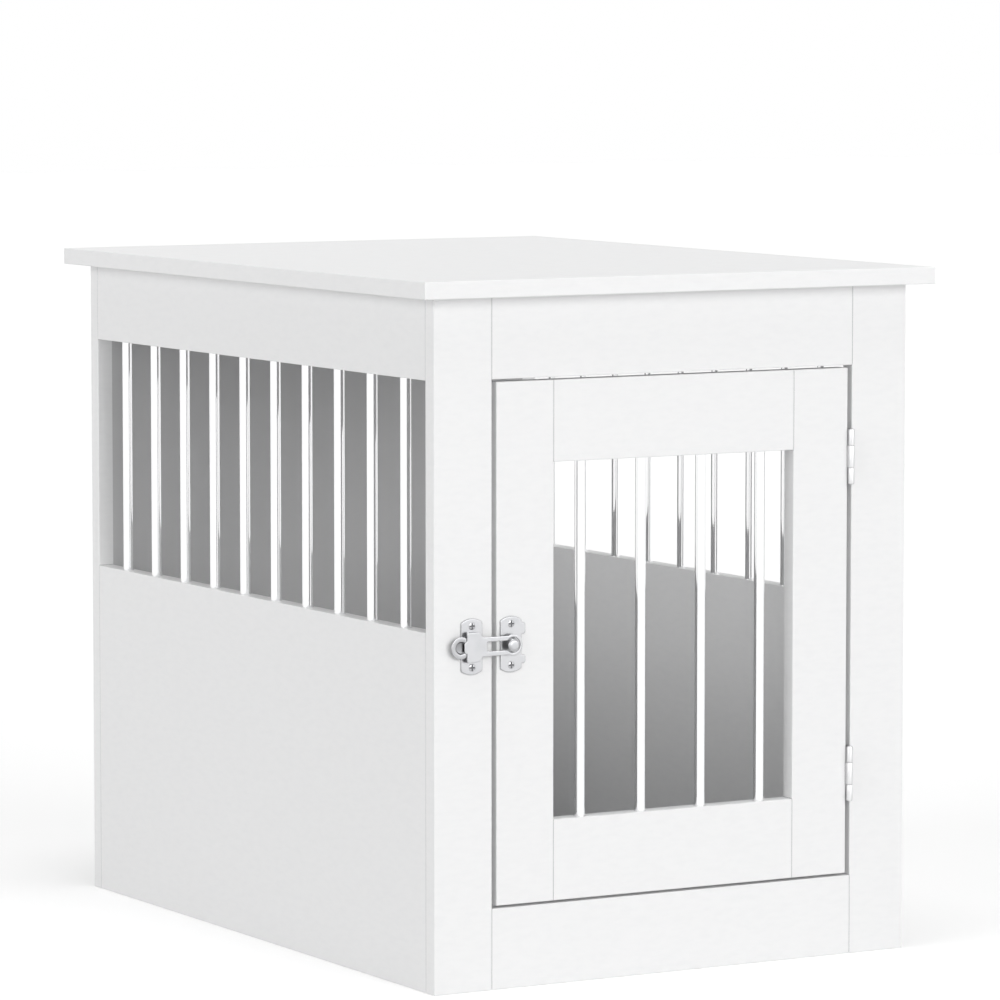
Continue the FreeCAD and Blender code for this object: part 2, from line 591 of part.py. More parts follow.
def build():
    """Every node of the crate, as {name: solids}."""
    board = boards()
    nodes = {}

    span = BACK_INNER - FRONT_INNER
    for side, name in ((-1, "left"), (1, "right")):
        middles = [(side * SIDE_MIDDLE, y) for y in spread(span, SIDE_BAR_PITCH)]
        nodes[name + "_side_bars"] = bars(board[name + "_lower_board"],
                                          board[name + "_upper_board"],
                                          middles, SIDE_LOWER_HEIGHT, UPPER_BOTTOM)
    middles = [(x, FRONT_MIDDLE) for x in spread(2 * DOOR_WINDOW_HALF, DOOR_BAR_PITCH)]
    nodes["door_bars"] = bars(board["door_bottom_rail"], board["door_top_rail"], middles,
                              DOOR_WINDOW_BOTTOM, DOOR_WINDOW_TOP)

    stiles = board["front_left_stile"], board["front_right_stile"]
    nodes["front_frame_dowels"] = (
        rail_dowels(*stiles, board["front_top_rail"], DOORWAY_HALF, TOP_RAIL_BOTTOM,
                    TOP_UNDERSIDE)
        + rail_dowels(*stiles, board["front_bottom_rail"], DOORWAY_HALF, 0, BOTTOM_RAIL_HEIGHT))
    stiles = board["door_left_stile"], board["door_right_stile"]
    nodes["door_dowels"] = (
        rail_dowels(*stiles, board["door_top_rail"], DOOR_WINDOW_HALF, DOOR_WINDOW_TOP, DOOR_TOP)
        + rail_dowels(*stiles, board["door_bottom_rail"], DOOR_WINDOW_HALF, DOOR_BOTTOM,
                      DOOR_WINDOW_BOTTOM))
    nodes.update(carcass_fasteners(board))

    for name, middle in (("upper", DOOR_TOP - HINGE_UPPER_DROP),
                         ("lower", DOOR_BOTTOM + HINGE_LOWER_RISE)):
        leaves, screws, pin = hinge(middle, board["front_right_stile"], board["door_right_stile"])
        nodes[name + "_hinge_pin"] = [pin]
        for side in ("frame", "door"):
            nodes["%s_hinge_%s_leaf" % (name, side)] = [leaves[side]]
            nodes.setdefault("hinge_%s_screws" % side, []).extend(screws[side])

    base, nodes["latch_base_screws"], pin = latch_base(board["front_left_stile"])
    nodes["latch_base"], nodes["latch_pin"] = [base], [pin]
    nodes["latch_lever"], nodes["latch_spring"] = [latch_lever()], [latch_spring()]
    plate, nodes["keeper_screws"], stud = keeper(board["door_left_stile"])
    nodes["keeper_plate"], nodes["keeper_stud"] = [plate], [stud]

    nodes.update({name: [made.shape()] for name, made in board.items()})
    return nodes


def main():
    """Write one STEP file per node."""
    os.makedirs("parts", exist_ok=True)
    for name, solids in build().items():
        shape = solids[0] if len(solids) == 1 else Part.makeCompound(solids)
        shape.exportStep("parts/%s.step" % name)
        box = shape.BoundBox
        print("%-24s %2d solids  %7.1f %7.1f %7.1f  valid %s" % (
            name, len(shape.Solids), box.XLength, box.YLength, box.ZLength, shape.isValid()))


main()
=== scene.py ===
"""Looks of the dog crate end table: white board, chromed bars, a bright latch and butt hinges.

Lengths are in metres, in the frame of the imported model: the origin is the centre of the
footprint on the floor, +X runs right along the front, the door faces -Y and +Z is up.
"""

import json
import logging
import math
from dataclasses import dataclass, field
from enum import Enum
from typing import Callable, Optional, Sequence, Union
import bmesh
import bpy
import numpy as np
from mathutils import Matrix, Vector


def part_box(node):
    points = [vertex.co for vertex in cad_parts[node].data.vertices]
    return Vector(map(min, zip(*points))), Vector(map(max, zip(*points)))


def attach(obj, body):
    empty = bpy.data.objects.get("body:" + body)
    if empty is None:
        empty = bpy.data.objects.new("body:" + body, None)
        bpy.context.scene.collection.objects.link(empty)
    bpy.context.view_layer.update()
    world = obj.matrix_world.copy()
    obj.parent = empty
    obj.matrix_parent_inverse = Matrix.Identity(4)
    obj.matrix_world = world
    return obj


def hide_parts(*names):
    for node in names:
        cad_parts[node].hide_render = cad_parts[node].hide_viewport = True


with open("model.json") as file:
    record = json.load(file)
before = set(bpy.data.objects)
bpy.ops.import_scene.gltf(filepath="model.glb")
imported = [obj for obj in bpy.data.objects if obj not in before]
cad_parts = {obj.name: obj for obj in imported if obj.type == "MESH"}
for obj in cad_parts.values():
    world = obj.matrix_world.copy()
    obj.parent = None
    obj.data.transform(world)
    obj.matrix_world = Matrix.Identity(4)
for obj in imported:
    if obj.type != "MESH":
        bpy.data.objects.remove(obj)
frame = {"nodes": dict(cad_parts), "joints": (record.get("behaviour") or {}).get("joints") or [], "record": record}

logging.basicConfig(level=logging.INFO, format="%(message)s")
log = logging.getLogger("crate")

MM = 0.001
ARC_STEPS = 9               # points per rounded corner
CREASE = math.radians(32)   # edges sharper than this stay sharp
PAINTED_SHADE = "recess"           # painted shade on a plated piece, 0 to 1, by how far a point lies in a fold or hollow
Array = np.ndarray
Number = Union[int, float]


class Axis(Enum):
    """Which way a flat piece faces: its across, up and outward directions."""

    FRONT = ((1, 0, 0), (0, 0, 1), (0, -1, 0))
    RIGHT = ((0, 1, 0), (0, 0, 1), (1, 0, 0))
    LEFT = ((0, -1, 0), (0, 0, 1), (-1, 0, 0))
    UP = ((1, 0, 0), (0, 1, 0), (0, 0, 1))

    def lift(self, origin: Sequence[float], across: Array, up: Array, out: Array) -> Array:
        """Place points given across, up and outward from an origin.

        Args:
            origin: The point that the distances start from.
            across: Distances along the first direction.
            up: Distances along the second direction.
            out: Distances along the third direction.

        Returns:
            The points, with x, y and z in the last dimension.
        """
        basis = np.array(self.value, float)
        parts = np.stack(np.broadcast_arrays(across, up, out), axis=-1)
        return np.array(origin, float) + parts @ basis


# --- Shader expressions -------------------------------------------------------------------------


class Signal:
    """A value socket that takes Python's operators, each of which adds a Math node."""

    def __init__(self, shader: "Shader", socket: bpy.types.NodeSocket) -> None:
        """Wrap a socket of a shader's node tree."""
        self.shader = shader
        self.socket = socket

    def _math(self, operation: str, *values: Union["Signal", Number]) -> "Signal":
        """Add one Math node over values."""
        node = self.shader.node("ShaderNodeMath", {"operation": operation},
                                dict(enumerate(values)))
        return Signal(self.shader, node.outputs[0])

    def __add__(self, other: Union["Signal", Number]) -> "Signal":
        """Sum."""
        return self._math("ADD", self, other)

    def __sub__(self, other: Union["Signal", Number]) -> "Signal":
        """Difference."""
        return self._math("SUBTRACT", self, other)

    def __rsub__(self, other: Number) -> "Signal":
        """Difference from a number."""
        return self._math("SUBTRACT", other, self)

    def __mul__(self, other: Union["Signal", Number]) -> "Signal":
        """Product."""
        return self._math("MULTIPLY", self, other)

    def __gt__(self, other: Number) -> "Signal":
        """One where the value is greater, and else zero."""
        return self._math("GREATER_THAN", self, other)

    def __lt__(self, other: Number) -> "Signal":
        """One where the value is less, and else zero."""
        return self._math("LESS_THAN", self, other)

    def __abs__(self) -> "Signal":
        """Size without sign."""
        return self._math("ABSOLUTE", self)

    __radd__ = __add__
    __rmul__ = __mul__

    def ramp(self, low: float, high: float) -> "Signal":
        """A smooth step from 0 at low to 1 at high."""
        node = self.shader.node("ShaderNodeMapRange", {"interpolation_type": "SMOOTHSTEP"},
                                {"Value": self, "From Min": low, "From Max": high})
        return Signal(self.shader, node.outputs[0])


class Shader:
    """A node tree: a material's, with one Principled BSDF, or another one that is handed in."""

    def __init__(self, name: str, tree: Optional[bpy.types.NodeTree] = None) -> None:
        """Start the tree.

        Args:
            name: The material's name.
            tree: A tree to fill instead of a new material's.
        """
        self.material = None if tree else bpy.data.materials.new(name)
        if self.material:
            self.material.use_nodes = True
        self.tree = tree or self.material.node_tree
        self.tree.nodes.clear()
        if self.material:
            self.surface = self.node("ShaderNodeBsdfPrincipled")
            self.finish("ShaderNodeOutputMaterial", self.surface.outputs[0])

    def finish(self, kind: str, surface: bpy.types.NodeSocket) -> None:
        """Link a surface to a new output node of the given type."""
        self.tree.links.new(surface, self.node(kind).inputs["Surface"])

    def node(self, kind: str, settings: Optional[dict] = None,
             inputs: Optional[dict] = None) -> bpy.types.Node:
        """Add a node, set it up and feed it.

        Args:
            kind: The node's type.
            settings: Attributes of the node, set before its inputs.
            inputs: Values, sockets or signals by input name or index.

        Returns:
            The new node.
        """
        node = self.tree.nodes.new(kind)
        for key, value in (settings or {}).items():
            setattr(node, key, value)
        for key, value in (inputs or {}).items():
            self.feed(node.inputs[key], value)
        return node

    def feed(self, socket: bpy.types.NodeSocket, value: object) -> None:
        """Link a signal or socket to a socket, or set a constant on it."""
        if isinstance(value, Signal):
            self.tree.links.new(value.socket, socket)
        elif isinstance(value, bpy.types.NodeSocket):
            self.tree.links.new(value, socket)
        else:
            socket.default_value = value

    def place(self, stretch: Sequence[float] = (1, 1, 1)) -> bpy.types.NodeSocket:
        """Object coordinates, stretched along each axis."""
        where = self.node("ShaderNodeTexCoord").outputs["Object"]
        return self.node("ShaderNodeMapping", None,
                         {"Vector": where, "Scale": stretch}).outputs[0]

    def noise(self, size: float, detail: float = 3.0, roughness: float = 0.5,
              stretch: Sequence[float] = (1, 1, 1)) -> Signal:
        """Soft noise about 0.5, with blotches of a size in metres."""
        node = self.node("ShaderNodeTexNoise", None, {
            "Vector": self.place(stretch), "Scale": 1.0 / size, "Detail": detail,
            "Roughness": roughness})
        return Signal(self, node.outputs[0])

    def blend(self, factor: Signal, first: Union[Sequence[float], bpy.types.NodeSocket],
              second: Sequence[float]) -> bpy.types.NodeSocket:
        """A colour between two, by a factor."""
        start = first if isinstance(first, bpy.types.NodeSocket) else (*first, 1.0)
        node = self.node("ShaderNodeMix", {"data_type": "RGBA"}, {
            0: factor, 6: start, 7: (*second, 1.0)})
        return node.outputs[2]

    def marked(self, name: str) -> Signal:
        """A value that the piece's points carry under a name, or 0 where they carry none."""
        node = self.node("ShaderNodeAttribute", {"attribute_name": name})
        return Signal(self, node.outputs["Fac"])

    def bump(self, height: Signal, depth: float) -> bpy.types.NodeSocket:
        """A normal bent by a height from 0 to 1 that stands for a depth in metres."""
        return self.node("ShaderNodeBump", None, {
            "Height": height, "Distance": depth, "Strength": 1.0}).outputs[0]

    def set(self, **values: object) -> None:
        """Set or link inputs of the Principled BSDF by name, with _ for a space."""
        for key, value in values.items():
            self.feed(self.surface.inputs[key.replace("_", " ")], value)


# --- Finishes -----------------------------------------------------------------------------------


class Finish:
    """A finish, which each subclass puts on a shader."""

    def paint(self, shader: Shader) -> None:
        """Set up a shader."""
        raise NotImplementedError

    def material(self, name: str) -> bpy.types.Material:
        """Build a material with this finish.

        Args:
            name: The material's name.

        Returns:
            The material.
        """
        shader = Shader(name)
        self.paint(shader)
        return shader.material


@dataclass(frozen=True)
class MelamineFinish(Finish):
    """White melamine-faced board: a satin face, a fine emboss and painted shade in the joints.

    The flecks are longer level than upright. Shade is painted into the joints between boards by
    how much of the surroundings within the joints' width a point sees, and painted shade darkens
    the back panel's face towards the cabin.
    """

    tone: tuple[float, float, float] = (0.875, 0.876, 0.878)
    cloud: tuple[float, float, float] = (0.855, 0.857, 0.861)
    # painted shade in the joints between boards
    joint_painted_shade: tuple[float, float, float] = (0.50, 0.50, 0.51)
    # painted shade on the back panel's face towards the cabin
    inner: tuple[float, float, float] = (0.565, 0.565, 0.57)
    fleck_size: float = 5.0 * MM
    fleck_stretch: tuple[float, float, float] = (0.35, 0.35, 1)
    emboss_size: float = 1.1 * MM
    emboss_depth: float = 0.016 * MM
    ripple_size: float = 9.9 * MM
    gloss: float = 0.36
    ior: float = 1.5
    joint_width: float = 1.2 * MM
    painted_shade_margin: float = 5.3 * MM    # from the cabin's clear room to just behind its back wall's face

    def paint(self, shader: Shader) -> None:
        """Set up a shader."""
        flecks = shader.noise(self.fleck_size, 5.0, 0.6, self.fleck_stretch)
        pores = shader.noise(self.emboss_size, 3.0, 0.6)
        ripple = shader.noise(self.ripple_size, 2.0)
        face = shader.blend(flecks.ramp(0.35, 0.75), self.tone, self.cloud)
        # painted shade on the back panel's face towards the cabin
        face = shader.blend(self.painted_back_shade(shader), face, self.inner)
        # painted shade in the joints, where ambient occlusion finds them
        shader.set(
            Base_Color=shader.blend(self.joint_shade(shader), face, self.joint_painted_shade),
            Roughness=self.gloss + ripple * 0.1 + flecks * 0.05,
            Normal=shader.bump(pores * 0.75 + ripple * 0.6, self.emboss_depth),
            IOR=self.ior)

    def joint_shade(self, shader: Shader) -> Signal:
        """Painted shade: one deep in the joints between boards, and zero on open faces and at the floor."""
        seen = shader.node("ShaderNodeAmbientOcclusion", {"samples": 4},
                           {"Distance": self.joint_width})
        height = shader.node("ShaderNodeSeparateXYZ", None, {"Vector": shader.place()}).outputs
        above_floor = Signal(shader, height["Z"]) > self.joint_width
        return (1 - Signal(shader, seen.outputs["AO"])).ramp(0.05, 0.4) * above_floor

    def painted_back_shade(self, shader: Shader) -> Signal:
        """Painted shade: one on the back panel's face towards the cabin, and else zero."""
        low, high = (Vector(corner) for corner in
                     frame["record"]["physics"]["openings"][0]["box_m"])
        at = [Signal(shader, socket) for socket in
              shader.node("ShaderNodeSeparateXYZ", None, {"Vector": shader.place()}).outputs]
        width = abs(at[0]) < high.x + self.painted_shade_margin
        depth = (at[1] > high.y) * (at[1] < high.y + self.painted_shade_margin)
        height = (at[2] > low.z - self.painted_shade_margin) * (at[2] < high.z + self.painted_shade_margin)
        return width * depth * height


@dataclass(frozen=True)
class PlatedFinish(Finish):
    """Bright plating over steel, with faint polishing streaks, and painted shade in its recesses."""

    tone: tuple[float, float, float] = (0.955, 0.957, 0.96)
    dull: tuple[float, float, float] = (0.93, 0.932, 0.94)
    # painted shade: the colour in recesses, folds and undersides
    recess: tuple[float, float, float] = (0.12, 0.12, 0.125)
    gloss: float = 0.03
    haze_size: float = 20 * MM
    streak_size: float = 1.6 * MM
    streak_stretch: tuple[float, float, float] = (1, 1, 0.03)
    streak_depth: float = 0.0006 * MM

    def paint(self, shader: Shader) -> None:
        """Set up a shader."""
        streaks = shader.noise(self.streak_size, 3.0, 0.6, self.streak_stretch)
        haze = shader.noise(self.haze_size)
        # painted shade where a piece's points carry it
        shader.set(
            Base_Color=shader.blend(
                shader.marked(PAINTED_SHADE),
                shader.blend(haze.ramp(0.35, 0.8), self.tone, self.dull), self.recess),
            Roughness=self.gloss + haze * 0.02 + streaks * 0.02,
            Normal=shader.bump(streaks, self.streak_depth),
            Metallic=1.0)


@dataclass(frozen=True)
class CastFinish(Finish):
    """Bare die-cast or plated steel of hidden fittings: dull, grey and slightly blotched."""

    tone: tuple[float, float, float] = (0.55, 0.55, 0.56)
    dark: tuple[float, float, float] = (0.36, 0.365, 0.37)
    gloss: float = 0.34
    grain_size: float = 0.9 * MM
    grain_depth: float = 0.03 * MM

    def paint(self, shader: Shader) -> None:
        """Set up a shader."""
        grain = shader.noise(self.grain_size, 4.0, 0.6)
        stain = shader.noise(self.grain_size * 7)
        shader.set(
            Base_Color=shader.blend(stain.ramp(0.3, 0.8), self.tone, self.dark),
            Roughness=self.gloss + grain * 0.18,
            Normal=shader.bump(grain, self.grain_depth),
            Metallic=1.0)


@dataclass(frozen=True)
class BeechFinish(Finish):
    """Plain beech of the dowels: pale straw with short dark flecks along the grain."""

    pale: tuple[float, float, float] = (0.62, 0.45, 0.28)
    fleck: tuple[float, float, float] = (0.43, 0.28, 0.15)
    fleck_size: float = 1.2 * MM
    fleck_stretch: tuple[float, float, float] = (0.2, 1, 1)
    fleck_depth: float = 0.05 * MM

    def paint(self, shader: Shader) -> None:
        """Set up a shader."""
        flecks = shader.noise(self.fleck_size, 4.0, 0.6, self.fleck_stretch)
        shader.set(
            Base_Color=shader.blend(flecks.ramp(0.45, 0.7), self.pale, self.fleck),
            Roughness=0.55 + flecks * 0.2,
            Normal=shader.bump(flecks, self.fleck_depth))


# --- Surfaces -----------------------------------------------------------------------------------


def lattice(name: str, *sheets: Array, closed_u: bool = True, closed_v: bool = True,
            capped: bool = False) -> bpy.types.Object:
    """A mesh piece from grids of points, each a function of two parameters.

    Args:
        name: The piece's name.
        sheets: Arrays of points with the shape (u, v, 3).
        closed_u: Whether each grid joins up along u.
        closed_v: Whether each grid joins up along v.
        capped: Whether a flat face shuts each grid's first and last ring.

    Returns:
        The object, with doubled points merged and faces turned outwards.
    """
    places, faces, first = [], [], 0
    for sheet in sheets:
        rows, columns = sheet.shape[:2]
        u = np.arange(rows if closed_u else rows - 1)
        v = np.arange(columns if closed_v and not capped else columns - 1)
        u, v = (grid.ravel() for grid in np.meshgrid(u, v, indexing="ij"))
        u_next, v_next = (u + 1) % rows, (v + 1) % columns
        corners = ((u, v), (u_next, v), (u_next, v_next), (u, v_next))
        faces += (np.stack([i * columns + j for i, j in corners], axis=1) + first).tolist()
        if capped:
            ring = np.arange(rows) * columns + first
            faces += [ring[::-1].tolist(), (ring + columns - 1).tolist()]
        places.append(sheet.reshape(-1, 3))
        first += rows * columns
    mesh = bpy.data.meshes.new(name)
    mesh.from_pydata(np.concatenate(places).tolist(), [], faces)
    work = bmesh.new()
    work.from_mesh(mesh)
    bmesh.ops.remove_doubles(work, verts=work.verts, dist=1e-7)
    bmesh.ops.dissolve_degenerate(work, edges=work.edges, dist=1e-8)
    keep(work, mesh)
    piece = bpy.data.objects.new(name, mesh)
    bpy.context.scene.collection.objects.link(piece)
    return piece


def keep(work: bmesh.types.BMesh, mesh: bpy.types.Mesh) -> None:
    """Turn a working mesh's faces outwards, store it and shade it smooth but for its creases."""
    bmesh.ops.recalc_face_normals(work, faces=work.faces)
    work.to_mesh(mesh)
    work.free()
    mesh.polygons.foreach_set("use_smooth", np.ones(len(mesh.polygons), bool))
    mesh.set_sharp_from_angle(angle=CREASE)


def mark(piece: bpy.types.Object, depth: Callable[[Array], Array]) -> bpy.types.Object:
    """Store how much painted shade each point gets, by how deep in a recess it lies, as a function of the points'
    places.
    """
    mesh = piece.data
    places = np.empty(len(mesh.vertices) * 3)
    mesh.vertices.foreach_get("co", places)
    values = np.clip(depth(places.reshape(-1, 3)), 0, 1).astype(np.float32)
    mesh.attributes.new(PAINTED_SHADE, "FLOAT", "POINT").data.foreach_set("value", values)
    return piece


def step(value: Array, low: float, high: float) -> Array:
    """A smooth step of an array from 0 at low to 1 at high: 3 t squared less 2 t cubed."""
    share = np.clip((value - low) / (high - low), 0, 1)
    return share ** 2 * (3 - 2 * share)


def rounded_loop(corners: Sequence[Sequence[float]], radii: Sequence[float],
                 steps: int = ARC_STEPS) -> Array:
    """A closed flat loop through corners, each rounded by an arc of its own radius.

    The arc at a corner touches both sides at radius / tan(half the corner's angle), and its
    points turn evenly about its centre from one touching point to the other.

    Args:
        corners: The corner points, in order.
        radii: One radius per corner.
        steps: Points per arc.

    Returns:
        The loop's points, with the shape (corners * steps, 2).
    """
    here = np.array(corners, float)
    radius = np.array(radii, float)[:, None]
    to_last = np.roll(here, 1, axis=0) - here
    to_next = np.roll(here, -1, axis=0) - here
    to_last /= np.linalg.norm(to_last, axis=1, keepdims=True)
    to_next /= np.linalg.norm(to_next, axis=1, keepdims=True)
    half = np.arccos(np.clip((to_last * to_next).sum(1, keepdims=True), -1, 1)) / 2
    inward = to_last + to_next
    inward /= np.maximum(np.linalg.norm(inward, axis=1, keepdims=True), 1e-9)
    centre = here + inward * radius / np.sin(half)
    start = here + to_last * radius / np.tan(half) - centre
    end = here + to_next * radius / np.tan(half) - centre
    turn = (math.pi - 2 * half)[:, None, :]
    share = np.linspace(0, 1, steps)[None, :, None]
    arc = (start[:, None] * np.sin((1 - share) * turn)
           + end[:, None] * np.sin(share * turn)) / np.maximum(np.sin(turn), 1e-9)
    return (centre[:, None] + arc).reshape(-1, 2)


def resampled(loop: Array, count: int) -> Array:
    """A closed loop as evenly spaced points, going anticlockwise.

    Args:
        loop: Points of the loop.
        count: How many points to return.

    Returns:
        The points.
    """
    turn = loop[:, 0] * np.roll(loop[:, 1], -1) - loop[:, 1] * np.roll(loop[:, 0], -1)
    loop = loop if turn.sum() > 0 else loop[::-1]
    path = np.vstack([loop, loop[:1]])
    along = np.concatenate([[0], np.cumsum(np.linalg.norm(np.diff(path, axis=0), axis=1))])
    wanted = np.linspace(0, along[-1], count, endpoint=False)
    return np.stack([np.interp(wanted, along, path[:, k]) for k in (0, 1)], axis=1)


def rim_section(thickness: float, edge: float, steps: int = 4) -> tuple[Array, Array]:
    """The rounded rim of a plate: distances inwards from its outline, and heights.

    Args:
        thickness: The plate's thickness.
        edge: The radius of its two rounded edges, past which a flat strip as wide begins.
        steps: Points per rounded edge.

    Returns:
        Insets and heights, from the underside up to the top.
    """
    angle = np.linspace(0, math.pi / 2, steps)
    inset = np.concatenate([[edge * 2], edge * (1 - np.sin(angle))])
    rise = np.concatenate([[0], edge * (1 - np.cos(angle))])
    return (np.concatenate([inset, inset[::-1]]),
            np.concatenate([rise, thickness - rise[::-1]]))


def inward(loop: Array, inset: Array) -> Array:
    """A loop drawn in by several distances, each point along the loop's own normal."""
    tangent = np.roll(loop, -1, axis=0) - np.roll(loop, 1, axis=0)
    tangent /= np.maximum(np.linalg.norm(tangent, axis=1, keepdims=True), 1e-12)
    normal = np.stack([-tangent[:, 1], tangent[:, 0]], axis=1)
    return loop[:, None] + normal[:, None] * inset[None, :, None]


def plate(loop: Array, thickness: float, edge: float, origin: Sequence[float],
          facing: Axis) -> Array:
    """The rounded rim of a plate: its section carried round the outline, to be capped flat.

    Args:
        loop: The outline, anticlockwise, or clockwise round a hole.
        thickness: The plate's thickness at its rim.
        edge: The radius of its edges.
        origin: The point that the outline's distances start from.
        facing: Which way the plate faces.

    Returns:
        The grid of points.
    """
    insets, heights = rim_section(thickness, edge)
    flat = inward(loop, insets)
    return facing.lift(origin, flat[..., 0], flat[..., 1], heights[None, :])


def holed_plate(name: str, outer: Array, inner: Array, thickness: float, edge: float,
                origin: Sequence[float], facing: Axis) -> bpy.types.Object:
    """A plate with one hole: a rounded rim round each loop, and flat faces between the rims.

    Args:
        name: The piece's name.
        outer: The outline, anticlockwise.
        inner: The hole, anticlockwise.
        thickness: The plate's thickness.
        edge: The radius of its edges.
        origin: The point that the loops' distances start from.
        facing: Which way the plate faces.

    Returns:
        The plate.
    """
    rims = [plate(loop, thickness, edge, origin, facing) for loop in (outer, inner[::-1])]
    piece = lattice(name, *rims, closed_v=False)
    work = bmesh.new()
    work.from_mesh(piece.data)
    out, start = Vector(facing.value[2]), Vector(origin)
    open_edges = [edge for edge in work.edges if edge.is_boundary]
    for side in (False, True):
        level = [edge for edge in open_edges
                 if ((edge.verts[0].co - start).dot(out) > thickness / 2) is side]
        bmesh.ops.triangle_fill(work, use_beauty=True, edges=level, normal=out)
    keep(work, piece.data)
    return piece


def turned(profile: Array, origin: Sequence[float], facing: Axis, steps: int) -> Array:
    """A surface of revolution: a profile of (radius, height) turned about an outward axis.

    Args:
        profile: Radii and heights, from pole to pole.
        origin: The point on the axis where height is zero.
        facing: The axis's direction.
        steps: How many times the profile is repeated round the turn.

    Returns:
        The grid of points.
    """
    angle = np.linspace(0, 2 * math.pi, steps, endpoint=False)[:, None]
    return facing.lift(origin, np.cos(angle) * profile[:, 0], np.sin(angle) * profile[:, 0],
                       profile[:, 1][None, :])


def eased(points: Sequence[Sequence[float]], ease: float, steps: int = 5) -> Array:
    """A profile through points whose inner corners are rounded by short parabolas.

    Args:
        points: Radii and heights.
        ease: How far from a corner its rounding starts.
        steps: Points per rounding.

    Returns:
        The smooth profile.
    """
    corner = np.array(points, float)
    back, ahead = corner[:-2] - corner[1:-1], corner[2:] - corner[1:-1]
    reach_back = np.linalg.norm(back, axis=1, keepdims=True)
    reach_ahead = np.linalg.norm(ahead, axis=1, keepdims=True)
    start = back / reach_back * np.minimum(ease, reach_back * 0.49)
    end = ahead / reach_ahead * np.minimum(ease, reach_ahead * 0.49)
    share = np.linspace(0, 1, steps)[None, :, None]
    curve = start[:, None] * (1 - share) ** 2 + end[:, None] * share ** 2
    inner = (corner[1:-1][:, None] + curve).reshape(-1, 2)
    return np.concatenate([corner[:1], inner, corner[-1:]])


def coil(radius: float, wire: float, turns: float, pitch: float, origin: Sequence[float],
         around: int = 8, steps: int = 22) -> Array:
    """A coil of wire about an upright axis: a small circle carried along a helix.

    Args:
        radius: The helix's radius.
        wire: The wire's radius.
        turns: How many turns it has.
        pitch: The rise per turn.
        origin: The middle of the coil.
        around: Points round the wire.
        steps: Points per turn.

    Returns:
        The grid of points, with its ends closed.
    """
    along = np.linspace(-0.5, 0.5, int(turns * steps))[:, None]
    angle = along * turns * 2 * math.pi
    section = np.linspace(0, 2 * math.pi, around, endpoint=False)[None, :]
    out = radius + wire * np.cos(section)
    points = np.stack([out * np.cos(angle), out * np.sin(angle),
                       along * turns * pitch + wire * np.sin(section)], axis=-1)
    points += np.array(origin, float)
    ends = points[[0, -1]].mean(axis=1, keepdims=True).repeat(around, axis=1)
    return np.concatenate([ends[:1], points, ends[1:]])


def disc_grid(lines: Array) -> tuple[Array, Array]:
    """A unit disc from a square grid: each line is bent so that the square's rim is a circle.

    Args:
        lines: Places of the grid's lines from -1 to 1, the same both ways.

    Returns:
        The two coordinates on the disc.
    """
    s, t = np.meshgrid(lines, lines, indexing="ij")
    return s * np.sqrt(1 - t ** 2 / 2), t * np.sqrt(1 - s ** 2 / 2)


# --- Pieces -------------------------------------------------------------------------------------


def finish_piece(piece: bpy.types.Object, body: str, slot: str, material: bpy.types.Material,
                 *nodes: str) -> None:
    """Give a new piece its body and material, and let it stand for nodes.

    Args:
        piece: The piece.
        body: The body that it rides on.
        slot: The record's material slot; not used.
        material: Its material.
        nodes: The nodes that it replaces.
    """
    piece.data.materials.append(material)
    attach(piece, body)
    if nodes:
        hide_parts(*nodes)
    log.info("%s: %d faces on %s", piece.name, len(piece.data.polygons), body)


def centre_of(node: str) -> Vector:
    """The middle of a node's box."""
    low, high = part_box(node)
    return (low + high) / 2


def joint_place(name: str) -> Vector:
    """The point that a joint turns about."""
    return Vector(next(j["pos_m"] for j in frame["joints"] if j["name"] == name))


